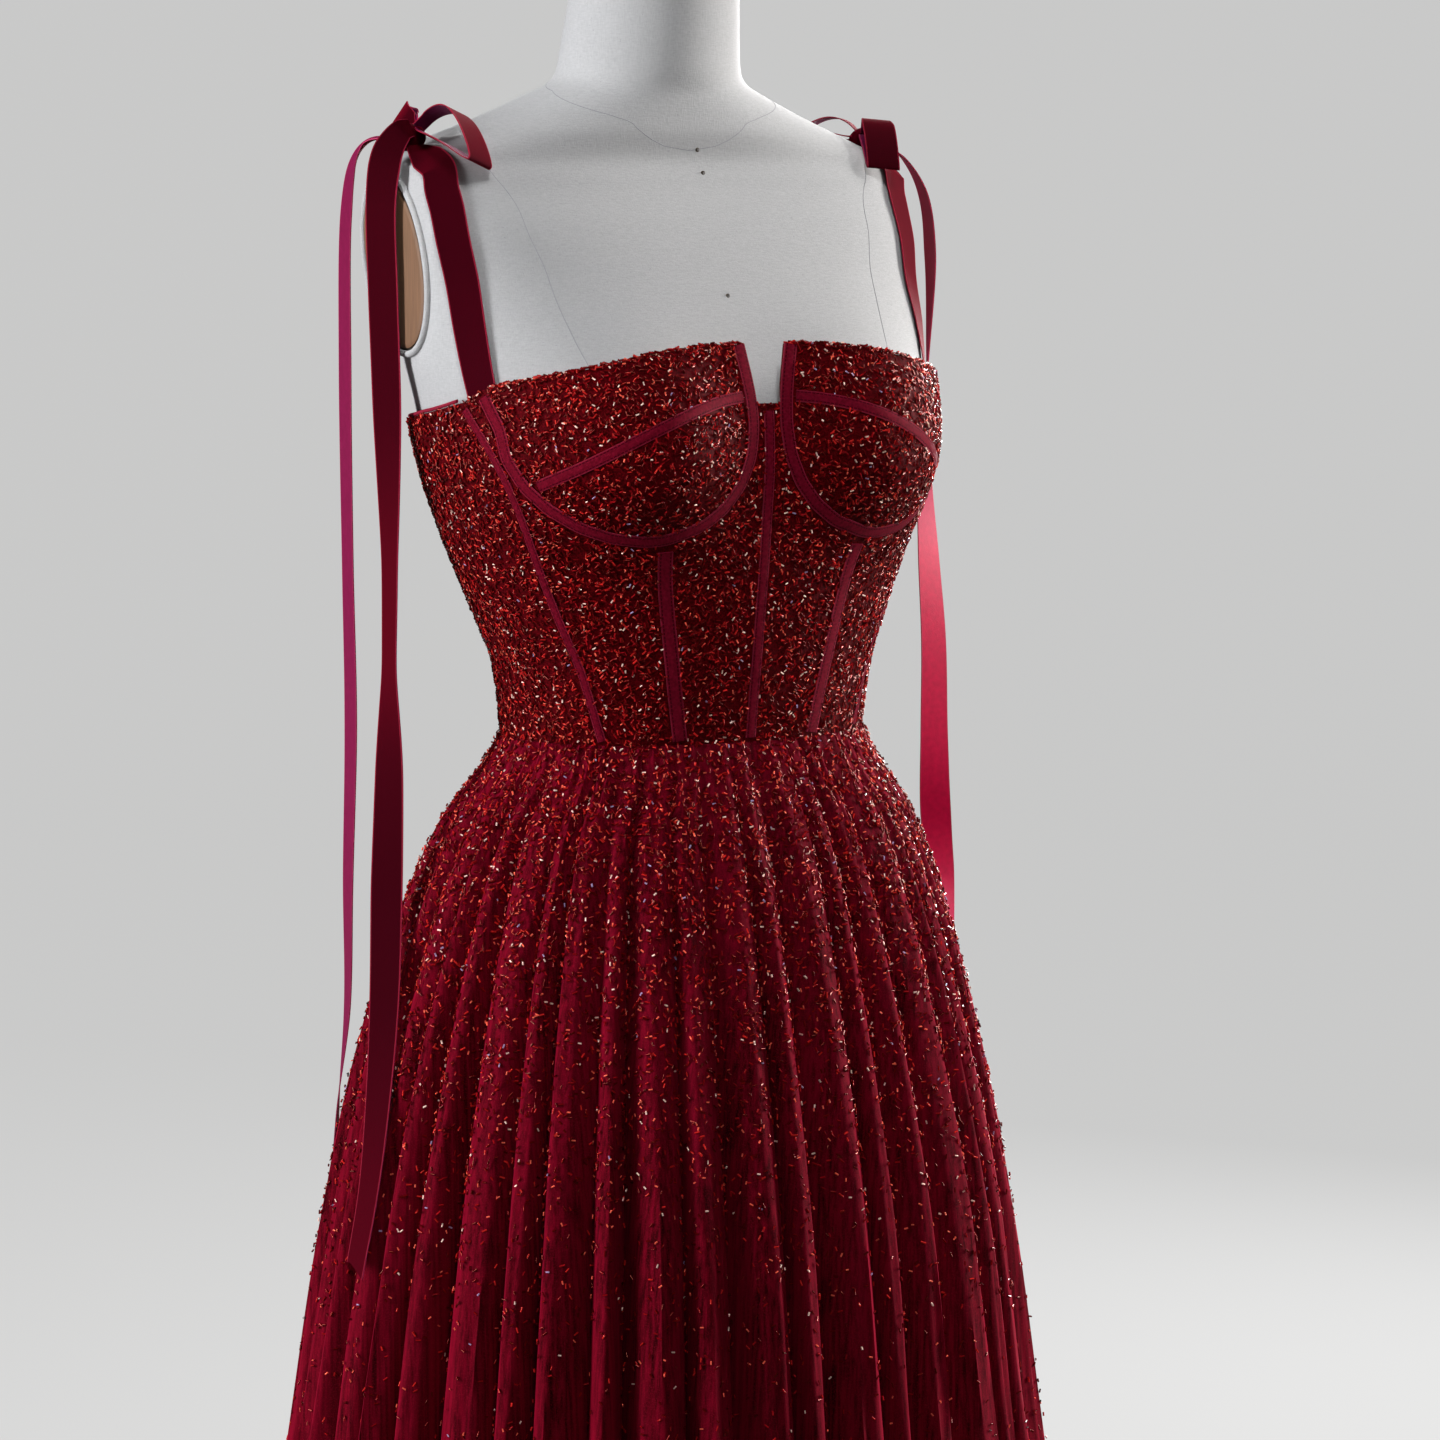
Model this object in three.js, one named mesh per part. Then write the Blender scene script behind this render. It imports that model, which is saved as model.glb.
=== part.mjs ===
// A-line evening gown on a dress form, in millimetres, +Z up, the front of the gown facing -Y.
// The gown has a boned and beaded bodice with two seamed cups, cloth tapes over its seams, velvet ribbon
// straps tied in bows on the shoulders, and a floor-length gathered skirt. The form is a padded torso with
// oval arm plates on a pole and a round base. Heights called "rise" are measured from the waist seam.
import * as THREE from "three";

const WAIST_HEIGHT = 1070; // floor to the waist seam
const CLOTH_WALL = 2; // beaded cloth of the bodice
const SKIRT_WALL = 2; // gathered layers of the skirt
const SEAM_GAP = 0.3; // between neighbouring pieces
const TAPE_THICKNESS = 1.2;
const TAPE_LIFT = 0.7; // the tapes' clearance over the panels
const RIBBON_WIDTH = 21;
const RIBBON_THICKNESS = 1.2;
const HEM_HEIGHT = 15; // floor to the hem
const HEM_RISE = HEM_HEIGHT - WAIST_HEIGHT;
const DEGREE = Math.PI / 180;

const COLOURS = {
  beads: { color: 0x7a0c14, roughness: 0.35, metalness: 0 },
  tulle: { color: 0x7d0a1e, roughness: 0.8, metalness: 0 },
  tape: { color: 0x8c1229, roughness: 0.5, metalness: 0 },
  velvet: { color: 0x5a0714, roughness: 0.7, metalness: 0 },
  linen: { color: 0xd6d5d8, roughness: 0.9, metalness: 0 },
  board: { color: 0xb58a58, roughness: 0.7, metalness: 0 },
  steel: { color: 0x9a9a9c, roughness: 0.35, metalness: 0.9 },
  iron: { color: 0x2b2b2d, roughness: 0.6, metalness: 0.4 },
};

const gown = new THREE.Group();

// A table of named columns, read with a smooth curve that never overshoots its rows.
function table(names, rows) {
  const columns = {};
  names.split(" ").forEach((name, k) => (columns[name] = rows.map((row) => row[k])));
  columns.key = columns[names.split(" ")[0]];
  return columns;
}

function slopeAt(x, y, k) {
  const last = x.length - 1;
  const before = k > 0 ? (y[k] - y[k - 1]) / (x[k] - x[k - 1]) : null;
  const after = k < last ? (y[k + 1] - y[k]) / (x[k + 1] - x[k]) : null;
  if (before === null) return after;
  if (after === null) return before;
  return before * after > 0 ? (2 * before * after) / (before + after) : 0;
}

function read(columns, name, at) {
  const x = columns.key;
  const y = columns[name];
  const last = x.length - 1;
  if (at <= x[0]) return y[0];
  if (at >= x[last]) return y[last];
  let k = 0;
  while (at > x[k + 1]) k += 1;
  const span = x[k + 1] - x[k];
  const s = (at - x[k]) / span;
  const rise = y[k + 1] - y[k];
  const a = slopeAt(x, y, k) * span;
  const b = slopeAt(x, y, k + 1) * span;
  return y[k] + s * (a + s * (3 * rise - 2 * a - b + s * (a + b - 2 * rise)));
}

// Level sections of the form: half width, depth in front of and behind a centre, and how square they are.
const FORM = table("rise half front back centre power", [
  [-240, 150, 94, 106, 12, 2.2],
  [-180, 160, 102, 112, 10, 2.2],
  [-100, 140, 96, 98, 6, 2.2],
  [-40, 117, 83, 82, 1, 2.2],
  [0, 110, 79, 77, 0, 2.2],
  [40, 115, 84, 79, 0, 2.2],
  [80, 129, 92, 87, 3, 2.2],
  [120, 144, 100, 96, 7, 2.2],
  [160, 156, 104, 105, 11, 2.2],
  [200, 163, 106, 112, 15, 2.2],
  [240, 170, 94, 109, 22, 2.35],
  [280, 173, 83, 99, 34, 2.6],
  [310, 176, 77, 88, 46, 3.0],
  [335, 176, 70, 76, 55, 3.1],
  [350, 166, 66, 70, 57, 2.9],
  [362, 140, 66, 66, 55, 2.6],
  [375, 108, 62, 60, 51, 2.3],
  [388, 79, 59, 55, 49, 2.1],
  [396, 62.5, 56, 56, 45, 2.0],
  [402, 58, 55, 56, 43, 2.0],
  [415, 56, 54, 55, 41, 2.0],
  [490, 49, 49, 49, 27, 2.0],
]);
const FORM_RINGS = [
  -240, -210, -180, -140, -100, -65, -30, 0, 30, 60, 90, 120, 150, 180, 205, 230, 255, 280, 305, 325,
  340, 350, 357, 365, 375, 388, 396, 402, 415, 450, 490,
];
const FORM_COLUMNS = 30;
const ARMHOLE_PLANE = 168; // the shoulders are cut flat here, under the arm plates

// Level sections of the bodice's outer face, without the cups.
const BODICE = table("rise half front back centre power", [
  [0, 115, 84, 82, 0, 2.2],
  [40, 120, 90, 84, 0, 2.2],
  [80, 134, 99, 92, 3, 2.2],
  [120, 149, 108, 101, 7, 2.2],
  [160, 161, 113, 110, 11, 2.2],
  [200, 168, 116, 117, 15, 2.2],
  [250, 172, 118, 120, 20, 2.25],
]);

// Each cup is a rounded swell on the front. The form's own bust is lower than the stiffened cups.
const BUST = { side: 90, rise: 178, spread: 62, above: 64, below: 52, power: 1.3 };
const CUP_SWELL = 34;
const FORM_SWELL = 20;

function swell(x, rise, height) {
  let sum = 0;
  for (const side of [-1, 1]) {
    const across = (x - side * BUST.side) / BUST.spread;
    const up = (rise - BUST.rise) / (rise > BUST.rise ? BUST.above : BUST.below);
    sum += height * Math.exp(-((across * across + up * up) ** BUST.power));
  }
  return sum;
}

// A point on a body surface. The angle is 0 at the centre front and positive to the wearer's left.
function onBody(sections, height, angle, rise) {
  const half = read(sections, "half", rise);
  const front = read(sections, "front", rise);
  const back = read(sections, "back", rise);
  const centre = read(sections, "centre", rise);
  const power = 2 / read(sections, "power", rise);
  const s = Math.sin(angle);
  const c = Math.cos(angle);
  const x = half * Math.sign(s) * Math.abs(s) ** power;
  const depth = (c > 0 ? front : back) * Math.sign(c) * Math.abs(c) ** power;
  const forward = swell(x, rise, height) * Math.min(1, Math.max(0, 3 * c));
  return new THREE.Vector3(x, centre - depth - forward, WAIST_HEIGHT + rise);
}

const onBodice = (angle, rise) => onBody(BODICE, CUP_SWELL, angle, rise);
const onForm = (angle, rise) => {
  const point = onBody(FORM, FORM_SWELL, angle, rise);
  point.x = Math.max(-ARMHOLE_PLANE, Math.min(ARMHOLE_PLANE, point.x));
  return point;
};

// The two directions along a surface at a point, and its outward normal.
function frameAt(surface, angle, rise) {
  const along = surface(angle + 0.01, rise).sub(surface(angle - 0.01, rise)).divideScalar(0.02);
  const up = surface(angle, rise + 1).sub(surface(angle, rise - 1)).divideScalar(2);
  const normal = along.clone().cross(up).normalize();
  return { along, up, normal };
}

function offPoint(surface, angle, rise, out) {
  return surface(angle, rise).addScaledVector(frameAt(surface, angle, rise).normal, out);
}

// A closed wall between an outer and an inner grid of points, both listed row by row.
function wallGeometry(outer, inner) {
  const rows = outer.length;
  const columns = outer[0].length;
  const points = [...outer.flat(), ...inner.flat()];
  const out = (r, c) => r * columns + c;
  const within = (r, c) => rows * columns + r * columns + c;
  const faces = [];
  const quad = (a, b, c, d) => faces.push(a, b, c, a, c, d);
  for (let r = 0; r < rows - 1; r += 1) {
    for (let c = 0; c < columns - 1; c += 1) {
      quad(out(r, c), out(r, c + 1), out(r + 1, c + 1), out(r + 1, c));
      quad(within(r, c), within(r + 1, c), within(r + 1, c + 1), within(r, c + 1));
    }
    quad(out(r, 0), out(r + 1, 0), within(r + 1, 0), within(r, 0));
    quad(out(r + 1, columns - 1), out(r, columns - 1), within(r, columns - 1), within(r + 1, columns - 1));
  }
  for (let c = 0; c < columns - 1; c += 1) {
    quad(out(0, c + 1), out(0, c), within(0, c), within(0, c + 1));
    quad(out(rows - 1, c), out(rows - 1, c + 1), within(rows - 1, c + 1), within(rows - 1, c));
  }
  const geometry = new THREE.BufferGeometry();
  geometry.setAttribute("position", new THREE.Float32BufferAttribute(points.flatMap((p) => [p.x, p.y, p.z]), 3));
  geometry.setIndex(faces);
  geometry.computeVertexNormals();
  return geometry;
}

function add(name, geometry, colour) {
  const mesh = new THREE.Mesh(geometry, new THREE.MeshStandardMaterial(COLOURS[colour]));
  mesh.name = name;
  gown.add(mesh);
  return mesh;
}

// Seam lines on the bodice. Each is a function of the rise, and gives an angle on the wearer's left.
const FRONT_SEAM = { atWaist: 45, lean: 0.176 }; // distance from the centre front, growing with the rise
const SIDE_FRONT_SEAM = table("rise angle", [
  [0, 47],
  [46, 54],
  [81, 57.5],
  [116, 60],
  [148, 63.5],
  [176, 68],
  [210, 75],
]);
const SIDE_BACK_ANGLE = 126;
const BACK_ANGLE = 153;
const TOP_EDGE = table("angle rise", [
  [0, 240],
  [12, 238.5],
  [25, 234],
  [40, 226],
  [55, 218.5],
  [66, 213.5],
  [75, 205],
  [87, 198.5],
  [100, 194],
  [130, 190],
  [180, 186],
]);
const topRise = (angle) => read(TOP_EDGE, "rise", Math.abs(angle) / DEGREE);

// The angle of a point on the bodice at a distance from the centre front.
function angleOf(x, rise) {
  const share = Math.min(1, Math.abs(x) / read(BODICE, "half", rise));
  return Math.sign(x) * Math.asin(share ** (read(BODICE, "power", rise) / 2));
}

// The underwire line, as distance from the centre front and rise: down the notch, round the cup, up to the strap.
const WIRE = { centre: 79, rise: 190, inner: 67.5, outer: 72, drop: 65 };
const WIRE_TURNS = [180, 165, 150, 135, 120, 100, 90, 75, 60, 45, 36, 30, 15, 0];
const FRONT_SEAM_TURN = 100; // where the front seam meets the underwire
const CROSS_SEAM_TURN = 30; // where the cross seam meets it
const NOTCH = { foot: 204.5, footHalf: 8.3, edge: [[9, 209], [9.6, 216], [10.8, 223], [12.3, 231], [14, 239.6]] };
const WIRE_LEG = [[152.3, 197], [154.6, 205.5]];
const LEG_TOP = 157;

function wirePoint(turn, grow) {
  const reach = (turn > 90 ? WIRE.inner : WIRE.outer) + grow;
  return [WIRE.centre + reach * Math.cos(turn * DEGREE), WIRE.rise - (WIRE.drop + grow) * Math.sin(turn * DEGREE)];
}

const CROSS = { start: 9.2, rise: 208.8, sag: 0.00318 };
const crossRise = (x) => CROSS.rise - CROSS.sag * (x - CROSS.start) ** 2;

const asAngle = ([x, rise]) => [angleOf(x, rise), rise];
const span = (count, make) => Array.from({ length: count }, (_, k) => make(k / (count - 1)));
const lerp = (a, b, s) => a + (b - a) * s;
const between = (p, q, count) => span(count, (s) => [lerp(p[0], q[0], s), lerp(p[1], q[1], s)]);

// A patch filled in between four edges, each a list of [angle, rise]. Left and right run upwards.
function fill(bottom, top, left, right) {
  return left.map((_, r) => {
    const v = r / (left.length - 1);
    return bottom.map((_, c) => {
      const u = c / (bottom.length - 1);
      return [0, 1].map(
        (k) =>
          lerp(bottom[c][k], top[c][k], v) +
          lerp(left[r][k], right[r][k], u) -
          lerp(lerp(bottom[0][k], bottom.at(-1)[k], u), lerp(top[0][k], top.at(-1)[k], u), v),
      );
    });
  });
}

// A panel of the bodice from its patch on the wearer's left, and its mirror on the right.
function addPanels(name, patch) {
  for (const [side, sign] of [["left", 1], ["right", -1]]) {
    const grid = patch.map((row) => (sign > 0 ? row : [...row].reverse()).map(([angle, rise]) => [sign * angle, rise]));
    const outer = grid.map((row) => row.map(([angle, rise]) => offPoint(onBodice, angle, rise, 0)));
    const inner = grid.map((row) => row.map(([angle, rise]) => offPoint(onBodice, angle, rise, -CLOTH_WALL)));
    add(`${name}_${side}`, wallGeometry(outer, inner), "beads");
  }
}

const HALF_GAP = SEAM_GAP / 2;
const FRONT_SIDE_COLUMNS = 7;
const WAIST_EDGE = HALF_GAP;
const PANEL_ROWS = 8;
const BACK_ROWS = 10;
const shift = (list, by) => list.map(([angle, rise]) => [angle + by, rise]);
const gapAngle = HALF_GAP / 110;

const frontSeam = (rise) => [angleOf(FRONT_SEAM.atWaist + FRONT_SEAM.lean * rise, rise), rise];
const sideFrontSeam = (rise) => [read(SIDE_FRONT_SEAM, "angle", rise) * DEGREE, rise];
const sideTop = read(TOP_EDGE, "rise", 75);

// Where each row of the side-front panel ends on the side-front seam, from the waist to the top edge.
const SIDE_ROWS = [HALF_GAP, 15, 30, 45, 60, 75, 90, 103, 109, 115, 123, 137, 147, 154, 171, 188, 195, 201, sideTop];

function seamEdge(seam, top) {
  return span(PANEL_ROWS, (s) => seam(lerp(WAIST_EDGE, top, s)));
}

function bodicePanels() {
  const wire = (turns, grow) => turns.map((turn) => asAngle(wirePoint(turn, grow)));
  const innerTurns = WIRE_TURNS.filter((turn) => turn >= FRONT_SEAM_TURN);
  const outerTurns = WIRE_TURNS.filter((turn) => turn <= FRONT_SEAM_TURN);
  const meet = asAngle(wirePoint(FRONT_SEAM_TURN, HALF_GAP));
  const frontEdge = seamEdge(frontSeam, meet[1]);
  frontEdge[PANEL_ROWS - 1] = meet;
  const sideEdge = SIDE_ROWS.map(sideFrontSeam);

  const centreTop = [
    [0.001, NOTCH.foot],
    asAngle([NOTCH.footHalf / 2, NOTCH.foot]),
    asAngle([NOTCH.footHalf, NOTCH.foot]),
    ...wire(innerTurns, HALF_GAP),
  ];
  const centreEnd = [centreTop.at(-1)[0] - gapAngle, centreTop.at(-1)[1]];
  centreTop[centreTop.length - 1] = centreEnd;
  const centreRight = shift(frontEdge, -gapAngle);
  const centreLeft = between([0.0015, WAIST_EDGE], [0.0015, NOTCH.foot], PANEL_ROWS);
  centreTop[0] = centreLeft.at(-1);
  const centreBottom = between(centreLeft[0], centreRight[0], centreTop.length);
  addPanels("front_centre", fill(centreBottom, centreTop, centreLeft, centreRight));

  const legTop = [LEG_TOP + HALF_GAP, topRise(angleOf(LEG_TOP, 213))];
  const chain = [
    ...shift(frontEdge, gapAngle),
    ...wire(outerTurns.slice(1), HALF_GAP),
    ...WIRE_LEG.map(([x, rise]) => asAngle([x + HALF_GAP, rise])),
    asAngle(legTop),
  ];
  const frontRight = shift(sideEdge, -gapAngle);
  const across = (p, q) => between(p, q, FRONT_SIDE_COLUMNS);
  addPanels("front_side", chain.map((point, r) => across(point, frontRight[r])));

  const plain = (name, left, endAngle, count) => {
    const top = span(count, (s) => {
      const angle = lerp(left.at(-1)[0], endAngle, s);
      return [angle, topRise(angle)];
    });
    top[0] = left.at(-1);
    const right = left.map(([, rise]) => [endAngle, lerp(WAIST_EDGE, top.at(-1)[1], rise / left.at(-1)[1])]);
    right[0][1] = WAIST_EDGE;
    addPanels(name, fill(between(left[0], right[0], count), top, left, right));
  };
  const upright = (angle) => between([angle, WAIST_EDGE], [angle, topRise(angle)], BACK_ROWS);
  plain("side", shift(sideEdge, gapAngle), SIDE_BACK_ANGLE * DEGREE - gapAngle, 8);
  plain("side_back", upright(SIDE_BACK_ANGLE * DEGREE + gapAngle), BACK_ANGLE * DEGREE - gapAngle, 5);
  plain("back", upright(BACK_ANGLE * DEGREE + gapAngle), 180 * DEGREE - gapAngle, 5);

  const lowerTurns = WIRE_TURNS.filter((turn) => turn > CROSS_SEAM_TURN);
  const lowerBottom = wire(lowerTurns, -HALF_GAP);
  const corner = wirePoint(CROSS_SEAM_TURN, -HALF_GAP);
  const crossLine = (lift, startX) =>
    span(lowerTurns.length, (s) => {
      const x = lerp(startX, corner[0], s ** 0.9);
      return asAngle([x, lerp(crossRise(x), corner[1], s ** 6) + lift]);
    });
  const lowerTop = crossLine(-HALF_GAP, NOTCH.edge[0][0] + HALF_GAP);
  addPanels(
    "cup_lower",
    fill(
      lowerBottom,
      lowerTop,
      between(lowerBottom[0], lowerTop[0], 5),
      between(lowerBottom.at(-1), lowerTop.at(-1), 5),
    ),
  );

  const upperBottom = crossLine(HALF_GAP, NOTCH.edge[0][0] + HALF_GAP);
  const upperLeft = NOTCH.edge.map(([x, rise]) => asAngle([x + HALF_GAP, rise]));
  upperLeft[0] = upperBottom[0];
  const upperRight = [
    upperBottom.at(-1),
    ...wire([15, 0], -HALF_GAP),
    ...WIRE_LEG.map(([x, rise]) => asAngle([x - HALF_GAP, rise])),
    asAngle([LEG_TOP - HALF_GAP, legTop[1]]),
  ];
  const upperLeftFull = [upperLeft[0], asAngle([9.3 + HALF_GAP, 212]), ...upperLeft.slice(1)];
  const upperTop = span(upperBottom.length, (s) => {
    const angle = lerp(upperLeft.at(-1)[0], upperRight.at(-1)[0], s);
    return [angle, topRise(angle)];
  });
  addPanels("cup_upper", fill(upperBottom, upperTop, upperLeftFull, upperRight));
}

// A tape sewn along a line of [angle, rise] on the bodice.
function tapeGeometry(line, width) {
  const lift = TAPE_LIFT;
  const rows = line.map(([angle, rise], k) => {
    const [a0, r0] = line[Math.max(0, k - 1)];
    const [a1, r1] = line[Math.min(line.length - 1, k + 1)];
    const way = onBodice(a1, r1).sub(onBodice(a0, r0)).normalize();
    const { along, up, normal } = frameAt(onBodice, angle, rise);
    const across = way.clone().cross(normal).normalize().multiplyScalar(width / 2);
    const aa = along.dot(along);
    const au = along.dot(up);
    const uu = up.dot(up);
    const det = aa * uu - au * au;
    const da = (across.dot(along) * uu - across.dot(up) * au) / det;
    const dr = (across.dot(up) * aa - across.dot(along) * au) / det;
    return [[angle - da, rise - dr], [angle + da, rise + dr]];
  });
  const grid = (out) => rows.map((row) => row.map(([angle, rise]) => offPoint(onBodice, angle, rise, out)));
  return wallGeometry(grid(lift + TAPE_THICKNESS), grid(lift));
}

const TAPES = { wire: 8, cross: 7, front: 9, sideFront: 5, back: 6, centre: 7 };
const TAPE_FOOT = 3; // the tapes end just above the waist seam

function tapeLines() {
  const wireLine = [
    [18, 239],
    [14.8, 223],
    [12.6, 210],
    [11.6, 199],
    ...WIRE_TURNS.filter((turn) => turn !== 36).map((turn) => wirePoint(turn, 0)),
    [154.6, 203],
    [156, 209],
  ].map(asAngle);
  const crossLine = span(10, (s) => {
    const x = lerp(18.5, 136, s);
    return asAngle([x, crossRise(x)]);
  });
  const upTo = (seam, top, count) => span(count, (s) => seam(lerp(TAPE_FOOT, top, s)));
  return {
    underwire: [wireLine, TAPES.wire],
    cross_cup: [crossLine, TAPES.cross],
    front: [upTo(frontSeam, 118.5, 11), TAPES.front],
    side_front: [upTo(sideFrontSeam, 201, 14), TAPES.sideFront],
    side_back: [upTo((rise) => [SIDE_BACK_ANGLE * DEGREE, rise], 187, 13), TAPES.back],
    back: [upTo((rise) => [BACK_ANGLE * DEGREE, rise], 185, 13), TAPES.back],
  };
}

function bodiceTapes() {
  for (const [name, [line, width]] of Object.entries(tapeLines())) {
    add(`tape_${name}_left`, tapeGeometry(line, width), "tape");
    const mirrored = line.map(([angle, rise]) => [-angle, rise]);
    add(`tape_${name}_right`, tapeGeometry(mirrored, width), "tape");
  }
  const centre = span(11, (s) => [0, lerp(TAPE_FOOT, 200, s)]);
  add("tape_centre", tapeGeometry(centre, TAPES.centre), "tape");
}

// A narrow binding that sits on the top edge, from the strap round to the centre back.
const BINDING = { from: 76, to: 178.6, width: 2.6, out: 0.3, height: 2.4, lift: 0.5, columns: 16 };

function topBindings() {
  for (const [side, sign] of [["left", 1], ["right", -1]]) {
    const angles = span(BINDING.columns, (s) => sign * lerp(BINDING.from, BINDING.to, s) * DEGREE);
    const ordered = sign > 0 ? angles : angles.reverse();
    const middle = BINDING.out - CLOTH_WALL / 2;
    const rows = (out) =>
      [BINDING.lift, BINDING.lift + BINDING.height].map((lift) =>
        ordered.map((angle) => {
          const point = offPoint(onBodice, angle, topRise(angle), middle + out);
          return point.setZ(point.z + lift);
        }),
      );
    add(`top_binding_${side}`, wallGeometry(rows(BINDING.width / 2), rows(-BINDING.width / 2)), "tape");
  }
}

// The skirt: an envelope of level sections, and folds that run inwards from it.
const SKIRT = table("rise half depth centre fold power", [
  [HEM_RISE, 350, 336, 34, 38, 2.0],
  [-740, 297, 279, 28, 33, 2.0],
  [-450, 246, 222, 21, 27, 2.0],
  [-300, 222, 197, 17, 23, 2.05],
  [-200, 200, 172, 14, 18, 2.1],
  [-100, 171, 138, 8, 11, 2.15],
  [-50, 149, 114, 4, 7, 2.2],
  [-20, 127, 96, 1, 4, 2.2],
  [0, 116.5, 85.5, 0, 2, 2.2],
]);
const SKIRT_RINGS = [HEM_RISE, -740, -480, -290, -180, -100, -45, -SEAM_GAP];
const FOLD_RUN = { rows: 11, repeats: 4 }; // 44 folds round the skirt
const FOLDS = table("number width depth lean", [
  [0, 1.2, 1.0, 0.1],
  [1, 0.75, 0.8, -0.12],
  [2, 1.0, 1.05, 0.06],
  [3, 1.45, 1.1, 0.14],
  [4, 0.8, 0.7, 0.0],
  [5, 1.1, 1.0, -0.14],
  [6, 0.65, 0.85, 0.08],
  [7, 1.3, 1.15, 0.12],
  [8, 0.95, 0.9, -0.08],
  [9, 1.15, 1.0, 0.1],
  [10, 0.7, 0.8, -0.05],
]);
const FOLD_STEPS = [0, 0.25, 0.5, 0.75]; // places across a fold, from one valley to the next
const FOLD_ROUNDNESS = 0.7;
const SKIRT_PANELS = [
  ["skirt_back_right", 4],
  ["skirt_side_back_right", 7],
  ["skirt_side_front_right", 7],
  ["skirt_front", 8],
  ["skirt_side_front_left", 7],
  ["skirt_side_back_left", 7],
  ["skirt_back_left", 4],
];

function foldStart(number) {
  const total = FOLDS.width.reduce((sum, width) => sum + width, 0);
  const round = Math.floor(number / FOLD_RUN.rows);
  const within = FOLDS.width.slice(0, number - round * FOLD_RUN.rows).reduce((sum, width) => sum + width, 0);
  return -Math.PI + ((round + within / total) * 2 * Math.PI) / FOLD_RUN.repeats;
}

function skirtPoint(number, step, rise) {
  const row = number % FOLD_RUN.rows;
  const start = foldStart(number);
  const pitch = foldStart(number + 1) - start;
  const ridge = Math.sin(Math.PI * step) ** FOLD_ROUNDNESS;
  const angle = start + pitch * (step + FOLDS.lean[row] * ridge);
  const inward = read(SKIRT, "fold", rise) * FOLDS.depth[row] * (1 - ridge);
  const half = read(SKIRT, "half", rise) - inward;
  const depth = read(SKIRT, "depth", rise) - inward;
  const centre = read(SKIRT, "centre", rise);
  const power = 2 / read(SKIRT, "power", rise);
  const s = Math.sin(angle);
  const c = Math.cos(angle);
  const x = half * Math.sign(s) * Math.abs(s) ** power;
  const y = centre - depth * Math.sign(c) * Math.abs(c) ** power;
  return new THREE.Vector3(x, y, WAIST_HEIGHT + rise);
}

// The inner points of a ring of cloth, moved in square to the ring by the wall.
function insetRing(points, ends) {
  return points.map((point, k) => {
    const before = points[k - 1] ?? ends[0];
    const after = points[k + 1] ?? ends[1];
    const a = point.clone().sub(before).setZ(0).normalize();
    const b = after.clone().sub(point).setZ(0).normalize();
    const way = a.add(b).normalize();
    const square = new THREE.Vector3(-way.y, way.x, 0);
    return point.clone().addScaledVector(square, SKIRT_WALL * 1.25);
  });
}

function skirt() {
  let first = 0;
  for (const [name, folds] of SKIRT_PANELS) {
    const outer = SKIRT_RINGS.map((rise) => {
      const ring = [];
      for (let k = first; k < first + folds; k += 1) {
        FOLD_STEPS.forEach((step) => ring.push(skirtPoint(k, step, rise)));
      }
      ring.push(skirtPoint(first + folds, 0, rise));
      return ring;
    });
    const inner = outer.map((ring, r) => {
      const rise = SKIRT_RINGS[r];
      const before = skirtPoint(first - 1 < 0 ? first + 43 : first - 1, 0.75, rise);
      const after = skirtPoint((first + folds) % 44, 0.25, rise);
      return insetRing(ring, [before, after]);
    });
    const trim = (rows) =>
      rows.map((row) => {
        const pull = (end, next) => end.add(next.clone().sub(end).normalize().multiplyScalar(HALF_GAP * 2.4));
        pull(row[0], row[1]);
        pull(row.at(-1), row.at(-2));
        return row;
      });
    add(name, wallGeometry(trim(outer), trim(inner)), "tulle");
    first += folds;
  }
}

// A ribbon through rows of points. Each row has its place, the direction across the ribbon and its width.
function ribbonGeometry(rows) {
  const grid = (out) =>
    rows.map(({ point, across, width }, k) => {
      const before = rows[Math.max(0, k - 1)].point;
      const after = rows[Math.min(rows.length - 1, k + 1)].point;
      const way = after.clone().sub(before).normalize();
      const side = across.clone().addScaledVector(way, -across.dot(way)).normalize();
      const face = side.clone().cross(way).normalize();
      return [-1, 1].map((end) =>
        point
          .clone()
          .addScaledVector(side, (end * width) / 2)
          .addScaledVector(face, out),
      );
    });
  return wallGeometry(grid(RIBBON_THICKNESS / 2), grid(-RIBBON_THICKNESS / 2));
}

// The rows of a ribbon that lies on the form, from [angle in degrees, rise].
function rowsOnForm(list, lift) {
  return list.map(([degrees, rise]) => {
    const { along } = frameAt(onForm, degrees * DEGREE, rise);
    return { point: offPoint(onForm, degrees * DEGREE, rise, lift), across: along, width: RIBBON_WIDTH };
  });
}

// The rows of a free ribbon, from [x, y, rise, heading and tilt of its width in degrees, width].
function freeRows(list) {
  return list.map(([x, y, rise, heading, tilt, width]) => ({
    point: new THREE.Vector3(x, y, WAIST_HEIGHT + rise),
    across: new THREE.Vector3(
      Math.cos(heading * DEGREE) * Math.cos(tilt * DEGREE),
      Math.sin(heading * DEGREE) * Math.cos(tilt * DEGREE),
      Math.sin(tilt * DEGREE),
    ),
    width,
  }));
}

// A smooth run of rows through a few.
function smoothRows(rows, count) {
  const curve = new THREE.CatmullRomCurve3(rows.map((row) => row.point));
  const last = rows.length - 1;
  return span(count, (s) => {
    const k = Math.min(last - 1, Math.floor(s * last));
    const part = s * last - k;
    return {
      point: curve.getPoint(s),
      across: rows[k].across.clone().lerp(rows[k + 1].across, part),
      width: lerp(rows[k].width, rows[k + 1].width, part),
    };
  });
}

const KNOT = { right: [-164, 42, 361.5], left: [158, 44, 362] };
const KNOT_SIZE = [8.5, 8, 6.5];

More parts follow.
